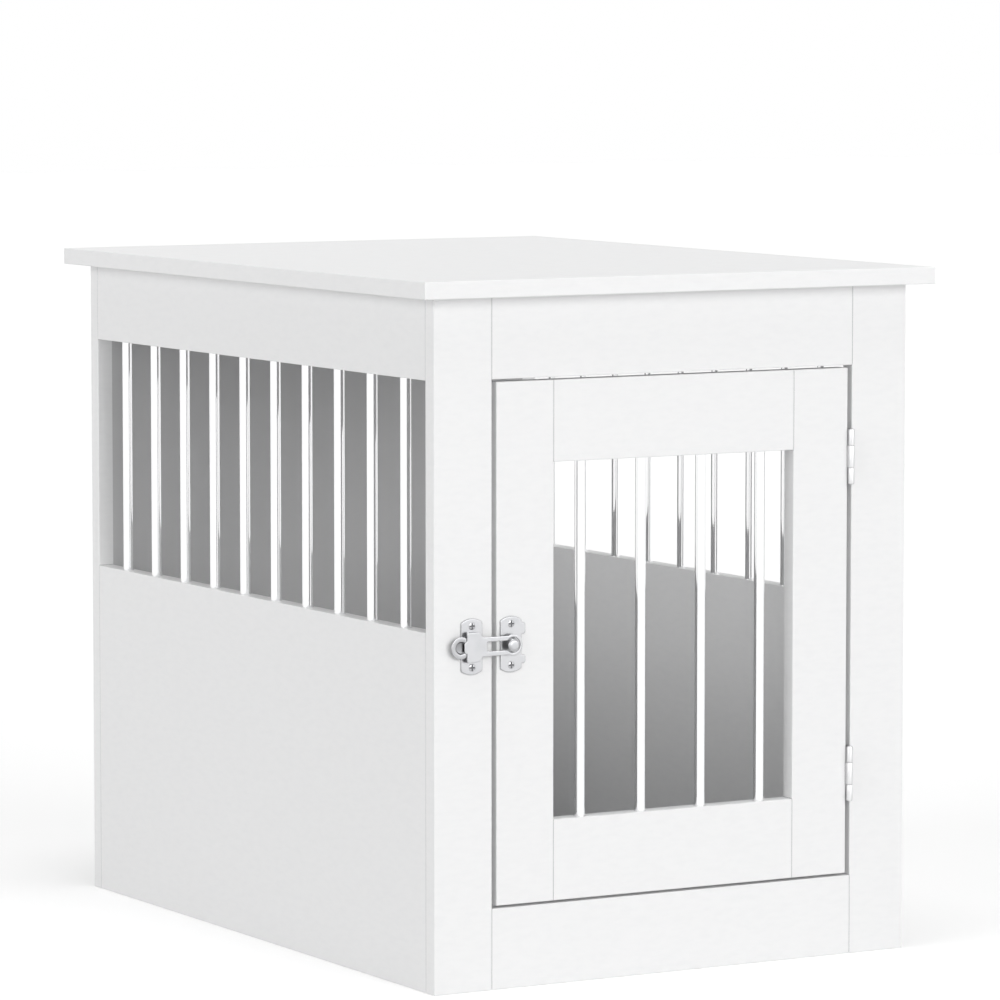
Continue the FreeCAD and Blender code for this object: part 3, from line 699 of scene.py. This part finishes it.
@dataclass
class CrossHeadScrew:
    """A screw's head with a cross recess, domed or flush."""

    radius: float
    dome: float
    recess: float = 0.8         # half the cross's length, as a share of the radius
    slot: float = 0.22          # half the cross's width, as a share of the radius
    lip: float = 0.02           # how far the cross's walls lean, as a share of the radius
    depth: float = 0.5 * MM     # less than the dome, so that the cross stays above the plate
    skirt: float = 0.5 * MM

    def surface(self, centre: Sequence[float], facing: Axis) -> Array:
        """The head: a flat-topped dome, less the cross.

        The dome's height is 1 less the radius to the eighth power, and the cross gets a little
        shallower outwards.

        Args:
            centre: The head's middle, on the face that it lies on.
            facing: Which way it faces.

        Returns:
            The grid of points, whose rim is drawn down into the plate and shut.
        """
        marks = [1, 0.95, 0.88, self.recess + self.lip, self.recess, self.recess * 0.6,
                 self.slot + self.lip, self.slot, 0]
        lines = np.array([-m for m in marks] + marks[-2::-1])
        across, up = disc_grid(lines)
        s, t = np.abs(np.meshgrid(lines, lines, indexing="ij"))
        bar = (np.minimum(s, t) <= self.slot + 1e-6) & (np.maximum(s, t) <= self.recess + 1e-6)
        away = np.clip(across ** 2 + up ** 2, 0, 1)
        height = self.dome * (1 - away ** 4) - bar * self.depth * (1 - away / 2)
        rim_a, rim_u = np.pad(across, 1, mode="edge"), np.pad(up, 1, mode="edge")
        height = np.pad(height, 1, constant_values=-self.skirt)
        return facing.lift(centre, rim_a * self.radius, rim_u * self.radius, height)

    def cap(self, centre: Sequence[float], facing: Axis) -> Array:
        """The flat underside that shuts the head."""
        across, up = disc_grid(np.linspace(-1, 1, 13))
        height = np.full(across.shape, -self.skirt)
        return facing.lift(centre, across * self.radius, up * self.radius, height)

    def build(self, name: str, centre: Sequence[float], facing: Axis) -> bpy.types.Object:
        """One whole head, with painted shade in the cross, where it lies below its uncut dome.

        Args:
            name: The piece's name.
            centre: The head's middle, on the face that it lies on.
            facing: Which way it faces.

        Returns:
            The head.
        """
        def sunk(at: Array) -> Array:
            """How far points lie below the uncut dome, as a share from 0 to 1."""
            across, up, out = np.array(facing.value, float) @ (at - np.array(centre)).T
            away = np.clip((across ** 2 + up ** 2) / self.radius ** 2, 0, 1)
            return step(self.dome * (1 - away ** 4) - out, self.depth * 0.1, self.depth * 0.4)

        # painted shade in the cross recess
        return mark(lattice(name, self.surface(centre, facing), self.cap(centre, facing),
                            closed_u=False, closed_v=False), sunk)


@dataclass
class Latch:
    """The spring latch: base plate, see-saw lever, pin, coil spring, keeper and stud.

    Outlines are given from the pin's axis, along X and either up or away from the door.
    """

    plated: bpy.types.Material
    spring: bpy.types.Material
    strap: float = 1.2 * MM             # the metal's thickness
    edge: float = 0.4 * MM
    standoff: float = 5.9 * MM          # from the boards' face out to the strap's underside
    heel: float = 2.4 * MM              # how far the strap goes past the pin
    notch: float = 1.2 * MM
    shoulder: float = 10.0 * MM         # where the strap starts to narrow
    taper: float = 4.0 * MM
    narrow: float = 17.5 * MM
    neck: float = 2.9 * MM              # how far the disc's neck goes past the heel
    neck_width: float = 11.0 * MM
    ring: float = 19.5 * MM
    ring_bore: float = 14.5 * MM
    slot_width: float = 8.8 * MM
    slot_start: float = 18.5 * MM
    flange_foot: float = 1.3 * MM
    disc: float = 20.5 * MM
    disc_offset: float = 8.0 * MM
    disc_flange: float = 1.2 * MM
    disc_gap: float = 0.3 * MM
    cup: float = 11.6 * MM
    cup_depth: float = 1.9 * MM
    cup_wall: float = 0.8 * MM
    disc_ease: float = 0.58 * MM
    bow: float = 3.5 * MM
    plate_width: float = 22.0 * MM
    plate_ease: float = 0.6 * MM
    tab_round: float = 0.22             # as a share of the tab's height
    tab_offset: float = 14.2 * MM
    tab_heights: tuple[float, float] = (10.0 * MM, 7.0 * MM)
    ear: float = 4.2 * MM
    ear_thick: float = 1.4 * MM
    ear_gap: float = 0.4 * MM
    stud_head_rise: float = 2.5 * MM
    stud_neck: float = 0.58             # as a share of the head's width, like the next
    stud_top: float = 0.66
    stud_ease: float = 0.8 * MM
    screw_dome: float = 0.6 * MM
    wire: float = 0.3 * MM
    coil: float = 1.76 * MM
    turns: float = 13.5
    cup_shade: float = 0.6              # how much painted shade each hollow or fold gets, from 0 to 1
    rim_shade: float = 0.22
    flange_shade: float = 0.85
    ear_shade: float = 0.9
    strap_rounds: tuple[float, ...] = (2 * MM, 1.5 * MM, 0.5 * MM, 0.5 * MM, 0.5 * MM, 2.6 * MM)
    slot_rounds: tuple[float, ...] = (1.4 * MM,)
    flange_rounds: tuple[float, ...] = (0.2 * MM, 0.2 * MM, MM, 1.2 * MM, MM, 2 * MM)
    pin: Vector = field(default_factory=lambda: joint_place("latch_press"))

    def __post_init__(self) -> None:
        """Read the places that the frame gives."""
        self.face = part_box("front_left_stile")[0].y
        low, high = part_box("latch_lever")
        self.back = self.face - self.standoff
        self.wide = high.z - low.z
        self.stud = centre_of("keeper_stud")
        self.reach = self.stud.x - self.pin.x

    def strap_loops(self) -> tuple[Array, Array]:
        """The strap's outline and its keyhole, both anticlockwise.

        Each is a run of rounded corners that opens to the right, shut by an arc about the stud:
        an arc of a radius r leaves edges a width w apart at the angle pi - asin(w / 2 / r).
        """
        wide, narrow, neck = self.wide / 2, self.narrow / 2, self.neck_width / 2
        hole = self.slot_width / 2
        heel, tip, tapered = -self.heel, -self.heel - self.neck, self.shoulder + self.taper
        strap = [(tapered, narrow), (self.shoulder, wide), (heel + self.notch * 0.6, wide),
                 (heel, wide - self.notch), (heel, neck), (tip, neck)]
        loops = []
        for corners, radii, half, radius, count in (
                (strap, self.strap_rounds, narrow, self.ring / 2, 300),
                ([(self.slot_start, hole)], self.slot_rounds, hole, self.ring_bore / 2, 200)):
            run = corners + [(x, -z) for x, z in corners[::-1]]
            run += [(self.reach, -half), (self.reach, half)]
            left = rounded_loop(run, radii + radii[::-1] + (MM, MM))
            left = left[:len(corners) * 2 * ARC_STEPS]
            turn = math.pi - math.asin(half / radius)
            angle = np.linspace(-turn, turn, count // 3)
            arc = np.stack([self.reach + radius * np.cos(angle), radius * np.sin(angle)], axis=1)
            loops.append(resampled(np.concatenate([left, arc]), count))
        return loops[0], loops[1]

    def flange_outline(self) -> Array:
        """A flange from above: an eye about the pin and a foot that runs to the shoulder."""
        eye, foot = self.heel - 0.2 * MM, self.flange_foot
        root = self.back - self.pin.y - self.strap / 2
        corners = [(-eye, root), (self.shoulder, root), (self.shoulder, foot),
                   (eye * 1.5, foot), (eye * 0.9, eye), (-eye, eye)]
        return resampled(rounded_loop(corners, self.flange_rounds), 96)

    def disc_profile(self) -> Array:
        """The finger disc: a flange with rolled edges round a cup with a rounded floor."""
        rim, cup = self.disc / 2, self.cup / 2
        floor, base = -self.cup_depth, -self.cup_depth - self.cup_wall
        return eased([(0, base), (cup, base), (cup + self.cup_wall, -self.disc_flange),
                      (rim, -self.disc_flange), (rim, 0), (cup, 0),
                      (cup - self.cup_wall, floor), (0, floor)], self.disc_ease, 6)

    def build_lever(self) -> bpy.types.Object:
        """The lever: strap, two folded flanges with eyes round the pin, and the disc."""
        origin = (self.pin.x, self.back, self.pin.z)
        strap = holed_plate("lever_strap", *self.strap_loops(), self.strap, self.edge, origin,
                            Axis.FRONT)
        # painted shade on the strap's underside
        mark(strap, lambda at: step(at[:, 1], self.back - self.strap / 2, self.back))
        levels = (self.pin.z - self.wide / 2, self.pin.z + self.wide / 2 - self.strap)
        flanges = lattice("lever_flanges", *(plate(
            self.flange_outline(), self.strap, self.edge / 2, (self.pin.x, self.pin.y, level),
            Axis.UP) for level in levels), capped=True)
        # painted shade on the flanges, darker from the strap inwards
        mark(flanges, lambda at: self.flange_shade * step(
            at[:, 1], self.back - self.strap / 2, self.pin.y))
        centre = np.array((self.pin.x - self.disc_offset, self.back, self.pin.z))
        disc = lattice("lever_disc", turned(self.disc_profile(), centre, Axis.FRONT, 96),
                       closed_v=False)
        trimmed(disc, (self.pin.x - self.heel - self.disc_gap, 0, 0), (1, 0, 0))
        # painted shade in the disc's cup, lighter on its rim
        mark(disc, lambda at: self.cup_shade - (self.cup_shade - self.rim_shade) * step(
            np.linalg.norm((at - centre)[:, ::2], axis=1), self.cup / 2 - self.cup_wall,
            self.cup / 2 + self.cup_wall / 2))
        return joined("lever", strap, flanges, disc)

    def build_base(self) -> bpy.types.Object:
        """The base plate with bowed ends, and two ears that hold the pin."""
        low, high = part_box("latch_base")
        piece = lattice("base_plate", self.bowed_plate(low, high, ()), capped=True)
        mark(piece, lambda at: np.zeros(len(at)))      # only the ears get painted shade, as they lie in a fold
        half, foot = self.ear / 2, self.face - self.strap / 2 - self.pin.y
        loop = rounded_loop([(-half, -half), (half, -half), (half, foot), (-half, foot)],
                            [half * 0.99, half * 0.99, 0.1 * MM, 0.1 * MM])
        outer = self.wide / 2 - self.strap - self.ear_gap
        ears = lattice("base_ears", *(plate(
            resampled(loop, 72), self.ear_thick, self.edge / 2,
            (self.pin.x, self.pin.y, self.pin.z + level), Axis.UP)
            for level in (-outer, outer - self.ear_thick)), capped=True)
        # painted shade all over the ears
        mark(ears, lambda at: np.full(len(at), self.ear_shade))
        return joined("latch_base_plate", piece, ears)

    def build_keeper(self) -> bpy.types.Object:
        """The keeper plate with its two side tabs."""
        low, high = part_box("keeper_plate")
        tabs = [(-self.tab_offset, self.tab_heights[1]), (self.tab_offset, self.tab_heights[0])]
        return lattice("keeper", self.bowed_plate(low, high, tabs), capped=True)

    def bowed_plate(self, low: Vector, high: Vector,
                    tabs: Sequence[tuple[float, float]]) -> Array:
        """A plate with bowed ends: each end rises by the bow times 1 - (x / half width) squared.

        Args:
            low: The plate's lowest corner.
            high: Its highest corner, tabs included.
            tabs: The middle and height of each tab on its right side, from below.

        Returns:
            The grid of points.
        """
        half, tall = self.plate_width / 2, (high.z - low.z) / 2 - self.bow
        tip, ease = high.x - low.x - half, self.plate_ease
        corners, radii = [(-half, -tall), (half, -tall)], [ease] * 2
        for middle, height in tabs:
            below, above = middle - height / 2, middle + height / 2
            corners += [(half, below), (tip, below), (tip, above), (half, above)]
            radii += [ease, height * self.tab_round, height * self.tab_round, ease]
        corners += [(half, tall), (-half, tall)]
        loop = resampled(rounded_loop(corners, radii + [ease] * 2), 260)
        share = np.clip((np.abs(loop[:, 1]) - tall + ease) / ease, 0, 1)
        rise = self.bow * (1 - np.clip(loop[:, 0] / half, -1, 1) ** 2) * share
        loop = loop + np.stack([np.zeros(len(loop)), np.sign(loop[:, 1]) * rise], axis=1)
        middle = (low.x + half, self.face, (low.z + high.z) / 2)
        return plate(loop, self.strap, self.edge, middle, Axis.FRONT)

    def build_stud(self) -> bpy.types.Object:
        """The stud: a neck and a mushroom head with a rounded rim."""
        low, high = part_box("keeper_stud")
        tall, head = self.face - low.y, (high.x - low.x) / 2
        neck, under, foot = head * self.stud_neck, tall - self.stud_head_rise, self.strap / 2
        rim = under + self.stud_head_rise / 2
        profile = eased([(0, foot), (neck, foot), (neck, under), (head, under), (head, rim),
                         (head * self.stud_top, tall), (0, tall)], self.stud_ease, 7)
        stud = lattice("stud", turned(profile, (self.stud.x, self.face, self.stud.z),
                                      Axis.FRONT, 72), closed_v=False)
        # painted shade on the neck under the head
        return mark(stud, lambda at: step(at[:, 1], self.face - rim, self.face - under))

    def build_pin(self) -> bpy.types.Object:
        """The pin with rounded tips."""
        low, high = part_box("latch_pin")
        radius, tall = (high.x - low.x) / 2, high.z - low.z
        profile = eased([(0, 0), (radius, 0), (radius, tall), (0, tall)], 0.5 * MM)
        return lattice("lever_pin", turned(profile, (self.pin.x, self.pin.y, low.z), Axis.UP,
                                           28), closed_v=False)

    def build_spring(self) -> bpy.types.Object:
        """The torsion spring: a close coil with a straight leg from each end."""
        low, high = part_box("latch_spring")
        wire, rise = self.wire, (high.z - low.z) / 2 - self.wire
        body = coil(self.coil, wire, self.turns, 2 * rise / self.turns, self.pin)
        legs = []
        for sign, reach in ((1, high.x - self.pin.x), (-1, self.pin.x - low.x)):
            start = self.pin + Vector((0, sign * self.coil, -sign * rise))
            profile = eased([(0, 0), (wire, 0), (wire, reach), (0, reach)], wire / 3, 3)
            facing = Axis.RIGHT if sign > 0 else Axis.LEFT
            legs.append(turned(profile, start, facing, 10))
        return joined("torsion_spring", lattice("spring_coil", body, closed_u=False),
                      lattice("spring_legs", *legs, closed_v=False))

    def build_screws(self, node: str, name: str) -> bpy.types.Object:
        """Two domed cross-head screws, one near each end of a plate."""
        low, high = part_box(node)
        radius = (high.x - low.x) / 2
        head = CrossHeadScrew(radius, self.screw_dome)
        return joined(name, *(head.build(
            name, ((low.x + high.x) / 2, self.face - self.strap, z), Axis.FRONT)
            for z in (low.z + radius, high.z - radius)))

    def build(self) -> None:
        """Build every piece of the latch and put it on its body."""
        nickel, screw = "latch_nickel", "screw_nickel"
        for piece, body, slot, material, node in (
                (self.build_lever(), "lever", nickel, self.plated, "latch_lever"),
                (self.build_spring(), "lever", "spring_steel", self.spring, "latch_spring"),
                (self.build_base(), "crate", nickel, self.plated, "latch_base"),
                (self.build_pin(), "crate", nickel, self.plated, "latch_pin"),
                (self.build_screws("latch_base_screws", "base_screws"), "crate", screw,
                 self.plated, "latch_base_screws"),
                (self.build_keeper(), "door", nickel, self.plated, "keeper_plate"),
                (self.build_stud(), "door", nickel, self.plated, "keeper_stud"),
                (self.build_screws("keeper_screws", "keeper_plate_screws"), "door", screw,
                 self.plated, "keeper_screws")):
            finish_piece(piece, body, slot, material, node)


def trimmed(piece: bpy.types.Object, point: Sequence[float], beyond: Sequence[float]) -> None:
    """Cut a piece off flat at a plane and shut the cut.

    Args:
        piece: The piece.
        point: A point on the plane.
        beyond: The direction of what is cut away.
    """
    work = bmesh.new()
    work.from_mesh(piece.data)
    everything = work.verts[:] + work.edges[:] + work.faces[:]
    bmesh.ops.bisect_plane(work, geom=everything, dist=1e-7, plane_co=point, plane_no=beyond,
                           clear_outer=True)
    bmesh.ops.holes_fill(work, edges=[edge for edge in work.edges if edge.is_boundary])
    keep(work, piece.data)


def joined(name: str, *parts: bpy.types.Object) -> bpy.types.Object:
    """One piece from several meshes.

    Args:
        name: The joined piece's name.
        parts: The pieces, which are used up.

    Returns:
        The first piece, holding all the meshes.
    """
    work = bmesh.new()
    for part in parts:
        work.from_mesh(part.data)
    work.to_mesh(parts[0].data)
    work.free()
    for part in parts[1:]:
        bpy.data.objects.remove(part)
    parts[0].data.set_sharp_from_angle(angle=CREASE)
    parts[0].name = name
    return parts[0]


class Side(Enum):
    """The two leaves of a butt hinge, by the way that each lies from the pin."""

    FRAME = ("frame", 1, Axis.LEFT)
    DOOR = ("door", -1, Axis.RIGHT)


@dataclass
class Hinge:
    """A butt hinge: two leaves with rolled knuckles, a headed pin and nearly flush screws."""

    name: str
    plated: bpy.types.Material
    barrel: float = 6.0 * MM
    leaf: float = 1.2 * MM
    depth: float = 14.0 * MM
    gap: float = 0.15 * MM
    edge: float = 0.25 * MM
    pin_width: float = 3.0 * MM
    pin_head: float = 5.2 * MM
    head_rise: float = 1.1 * MM
    screw_inset: float = 10.5 * MM
    screw_back: float = 8.0 * MM
    screw_radius: float = 3.0 * MM
    screw_dome: float = 0.25 * MM
    cross_depth: float = 0.2 * MM
    end_knuckle: float = 14.85 * MM     # height of each of the frame leaf's two knuckles
    corner: float = 0.3 * MM

    def __post_init__(self) -> None:
        """Read the places that the frame gives."""
        frame_low, frame_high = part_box(f"{self.name}_hinge_frame_leaf")
        door_low, door_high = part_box(f"{self.name}_hinge_door_leaf")
        self.axis = joint_place("door_swing")
        self.low, self.high = frame_low.z, frame_high.z
        self.far = {Side.FRAME: frame_high.x, Side.DOOR: door_low.x}
        self.back = max(frame_high.y, door_high.y)
        self.middle = (self.low + self.high) / 2
        self.face = self.back - self.depth

    def rolled_outline(self, side: Side) -> Array:
        """A knuckle's outline from above: a barrel that runs off into its leaf's plate.

        About the pin the barrel is an arc of its own radius, which leaves from the plate's far
        face and comes round the front to meet its near face.
        """
        radius = self.barrel / 2
        _, sign, _ = side.value
        reach = abs(self.far[side] - self.axis.x)
        near = reach - self.leaf
        depth = self.face - self.axis.y + self.gap * 2
        outer = math.asin(min(reach / radius, 1.0))
        inner = math.asin(min(max(near, 0.0) / radius, 1.0))
        angle = np.linspace(outer, -2 * math.pi + inner, 48)
        arc = np.stack([np.sin(angle), np.cos(angle)], axis=1) * radius
        neck = np.array([(near, depth), (reach, depth)])
        return np.concatenate([neck, arc]) * np.array([sign, 1])

    def leaf_piece(self, side: Side) -> bpy.types.Object:
        """One leaf: a plate with eased edges between board and door, and its knuckles."""
        word, _, facing = side.value
        lower, upper = self.low + self.end_knuckle, self.high - self.end_knuckle
        spans = {Side.FRAME: [(self.low, lower), (upper, self.high)],
                 Side.DOOR: [(lower + self.gap, upper - self.gap)]}
        half, tall = (self.depth - self.gap) / 2, (self.high - self.low) / 2
        corners = [(-half, -tall), (half, -tall), (half, tall), (-half, tall)]
        loop = resampled(rounded_loop(corners, [self.corner] * 4, 5), 80)
        middle = (self.far[side], self.back - half, self.middle)
        leaf = lattice(f"{self.name}_leaf_{word}",
                       plate(loop, self.leaf, self.edge, middle, facing), capped=True)
        outline = self.rolled_outline(side)
        return joined(leaf.name, leaf, lattice("knuckles", *(
            self.knuckle(outline, start, stop) for start, stop in spans[side]), closed_v=False))

    def knuckle(self, outline: Array, start: float, stop: float) -> Array:
        """A rolled knuckle: its outline, drawn in a little at both ends, carried up the pin."""
        ease = self.edge * 1.6
        insets, heights = rim_section(stop - start, ease, 5)
        middle = outline.mean(0)
        spread = np.linalg.norm(outline - middle, axis=1).mean()
        scale = np.concatenate([[0.02, 0.6], 1 - insets / spread, [0.6, 0.02]])
        heights = np.concatenate([[0, 0], heights, [stop - start] * 2])
        flat = middle + (outline - middle)[:, None] * scale[None, :, None]
        return Axis.UP.lift((self.axis.x, self.axis.y, start), flat[..., 0], flat[..., 1],
                            heights[None, :])

    def pin_piece(self) -> bpy.types.Object:
        """The pin, with a domed head at each end."""
        tall, radius, head = self.high - self.low, self.pin_width / 2, self.pin_head / 2
        dome = np.linspace(0, math.pi / 2, 9)
        cap = np.stack([head * np.sin(dome), self.head_rise * np.cos(dome)], axis=1)
        lower = cap * np.array([1, -1])
        upper = cap[::-1] + np.array([0, tall])
        shaft = np.array([(radius, 0.0), (radius, tall)])
        profile = np.concatenate([lower, shaft, upper])
        return lattice(f"{self.name}_hinge_shaft", turned(
            profile, (self.axis.x, self.axis.y, self.low), Axis.UP, 36), closed_v=False)

    def screws(self, side: Side) -> list[bpy.types.Object]:
        """The heads of a leaf's two nearly flush cross-head screws."""
        word, sign, facing = side.value
        head = CrossHeadScrew(self.screw_radius, self.screw_dome, depth=self.cross_depth)
        inner = self.far[side] - sign * self.leaf
        return [head.build(f"{word}_leaf_screws", (inner, self.face + self.screw_back, z), facing)
                for z in (self.low + self.screw_inset, self.high - self.screw_inset)]

    def build(self) -> None:
        """Build both leaves and the pin and put each on its body."""
        frame_leaf, door_leaf = (self.leaf_piece(side) for side in Side)
        slot = "hinge_nickel"
        finish_piece(frame_leaf, "crate", slot, self.plated, f"{self.name}_hinge_frame_leaf")
        finish_piece(door_leaf, "door", slot, self.plated, f"{self.name}_hinge_door_leaf")
        finish_piece(self.pin_piece(), "crate", slot, self.plated, f"{self.name}_hinge_pin")


def build_hinges(plated: bpy.types.Material) -> None:
    """Both hinges, and their screws as one piece for the frame and one for the door."""
    hinges = [Hinge(name, plated) for name in ("upper", "lower")]
    for hinge in hinges:
        hinge.build()
    for side, body in ((Side.FRAME, "crate"), (Side.DOOR, "door")):
        word = side.value[0]
        piece = joined(f"{word}_leaf_screws",
                       *(head for hinge in hinges for head in hinge.screws(side)))
        finish_piece(piece, body, "screw_nickel", plated, f"hinge_{word}_screws")


@dataclass
class Boards:
    """The boards of the crate and the door, which keep their solids."""

    melamine: bpy.types.Material
    names: tuple[str, ...] = (
        "tabletop", "front_left_stile", "front_right_stile", "front_top_rail",
        "front_bottom_rail", "left_upper_board", "left_lower_board", "right_upper_board",
        "right_lower_board", "back_panel", "floor_panel", "door_left_stile",
        "door_right_stile", "door_top_rail", "door_bottom_rail")

    def dress(self) -> None:
        """Give every board its melamine."""
        dress(self.names, self.melamine)


def dress(names: Sequence[str], material: bpy.types.Material) -> None:
    """Give nodes that keep their solids a material.

    Args:
        names: The nodes' names.
        material: The material.
    """
    for name in names:
        mesh = frame["nodes"][name].data
        mesh.materials.clear()
        mesh.materials.append(material)
        log.info("%s keeps its solid", name)


# --- Stage --------------------------------------------------------------------------------------


class Lamp(Enum):
    """The studio's broad distant lamps: strength, direction to the lamp, width in degrees."""

    KEY = (0.53, (0.28, -0.94, 0.12), 50)
    FRONT = (0.12, (-0.30, -0.90, 0.22), 40)
    SIDE = (0.39, (-0.94, -0.12, 0.20), 40)
    TOP = (0.31, (0.0, -0.10, 0.99), 34)


@dataclass
class Studio:
    """A pale floor, soft lamps and the camera."""

    camera_place: tuple[float, float, float] = (-2.6670, -4.6747, 0.9129)
    camera_turn: float = 29.866         # in degrees, like the dip
    camera_dip: float = 5.318
    lens: float = 198.7                 # in millimetres, like the sensor
    sensor: float = 36.0
    far: float = 60.0
    floor_size: float = 40.0
    floor_tone: float = 0.6
    floor_seen: float = 1.0
    floor_glow: float = 0.15
    sky: float = 0.36

    def build(self) -> None:
        """Make the world, the floor, the lamps and the camera."""
        self.make_world()
        self.make_floor()
        for lamp in Lamp:
            self.make_lamp(lamp)
        self.make_camera()

    def seen_ray(self, shader: Shader) -> Signal:
        """One for rays from the eye, from metal or through glass, and else zero."""
        path = shader.node("ShaderNodeLightPath").outputs
        rays = [Signal(shader, path[name]) for name in
                ("Is Camera Ray", "Is Glossy Ray", "Is Transmission Ray")]
        return rays[0] + rays[1] + rays[2] > 0.5

    def make_world(self) -> None:
        """A plain sky that lights softly and shows white to the eye and to metal."""
        world = bpy.data.worlds.new("studio")
        bpy.context.scene.world = world
        world.use_nodes = True
        sky = Shader("sky", world.node_tree)
        light, white = (sky.node("ShaderNodeBackground", None, {
            "Color": (1.0, 1.0, 1.0, 1.0), "Strength": strength}).outputs[0]
            for strength in (self.sky, 1.0))
        sky.finish("ShaderNodeOutputWorld", sky.node("ShaderNodeMixShader", None, {
            0: self.seen_ray(sky), 1: light, 2: white}).outputs[0])

    def make_floor(self) -> None:
        """A wide plain floor, whiter to the eye than it is as a source of light."""
        half = self.floor_size / 2
        mesh = bpy.data.meshes.new("floor")
        mesh.from_pydata([(-half, -half, 0), (half, -half, 0), (half, half, 0), (-half, half, 0)],
                         [], [(0, 1, 2, 3)])
        floor = bpy.data.objects.new("floor", mesh)
        bpy.context.scene.collection.objects.link(floor)
        shader = Shader("floor")
        seen = self.seen_ray(shader)
        shader.set(Roughness=0.9, Emission_Strength=1.0,
                   Base_Color=shader.blend(seen, (self.floor_tone,) * 3, (self.floor_seen,) * 3),
                   Emission_Color=shader.blend(seen, (0,) * 3, (self.floor_glow,) * 3))
        mesh.materials.append(shader.material)

    def make_lamp(self, lamp: Lamp) -> None:
        """Make one lamp, whose strength is what it adds to a white face head on."""
        strength, towards, width = lamp.value
        data = bpy.data.lights.new(lamp.name.lower(), "SUN")
        data.energy = strength * math.pi
        data.angle = math.radians(width)
        piece = bpy.data.objects.new(data.name, data)
        bpy.context.scene.collection.objects.link(piece)
        piece.rotation_euler = Vector(towards).to_track_quat("Z", "Y").to_euler()

    def make_camera(self) -> None:
        """The camera, turned from +Y towards +X and dipped."""
        data = bpy.data.cameras.new("view")
        data.lens = self.lens
        data.sensor_width = self.sensor
        data.clip_end = self.far
        camera = bpy.data.objects.new("view", data)
        bpy.context.scene.collection.objects.link(camera)
        camera.location = self.camera_place
        camera.rotation_euler = (math.radians(90 - self.camera_dip), 0,
                                 -math.radians(self.camera_turn))
        bpy.context.scene.camera = camera


def main() -> None:
    """Build the looks round the frame."""
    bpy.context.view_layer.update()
    bpy.context.scene.view_settings.view_transform = "Standard"

    melamine = MelamineFinish().material("white_melamine")
    chrome = PlatedFinish().material("chrome_bar")
    nickel = PlatedFinish(tone=(0.475, 0.478, 0.49), dull=(0.435, 0.44, 0.453), gloss=0.28
                          ).material("satin_nickel")
    bright = PlatedFinish(tone=(0.66, 0.66, 0.665), dull=(0.62, 0.62, 0.63), gloss=0.4
                          ).material("bright_nickel")
    spring = CastFinish(tone=(0.42, 0.42, 0.43), gloss=0.25).material("spring_wire")
    zinc = CastFinish().material("cast_zinc")
    bolt = CastFinish(tone=(0.62, 0.61, 0.56), gloss=0.28).material("plated_bolt")
    beech = BeechFinish().material("beech")

    Boards(melamine).dress()
    dress(("left_side_bars", "right_side_bars", "door_bars"), chrome)
    dress(("top_cam_locks", "side_cam_locks"), zinc)
    dress(("top_cam_bolts", "side_cam_bolts"), bolt)
    dress(("side_dowels", "top_dowels", "floor_dowels", "front_frame_dowels", "door_dowels"),
          beech)
    build_hinges(bright)
    Latch(nickel, spring).build()
    Studio().build()


if __name__ == "__main__":
    main()
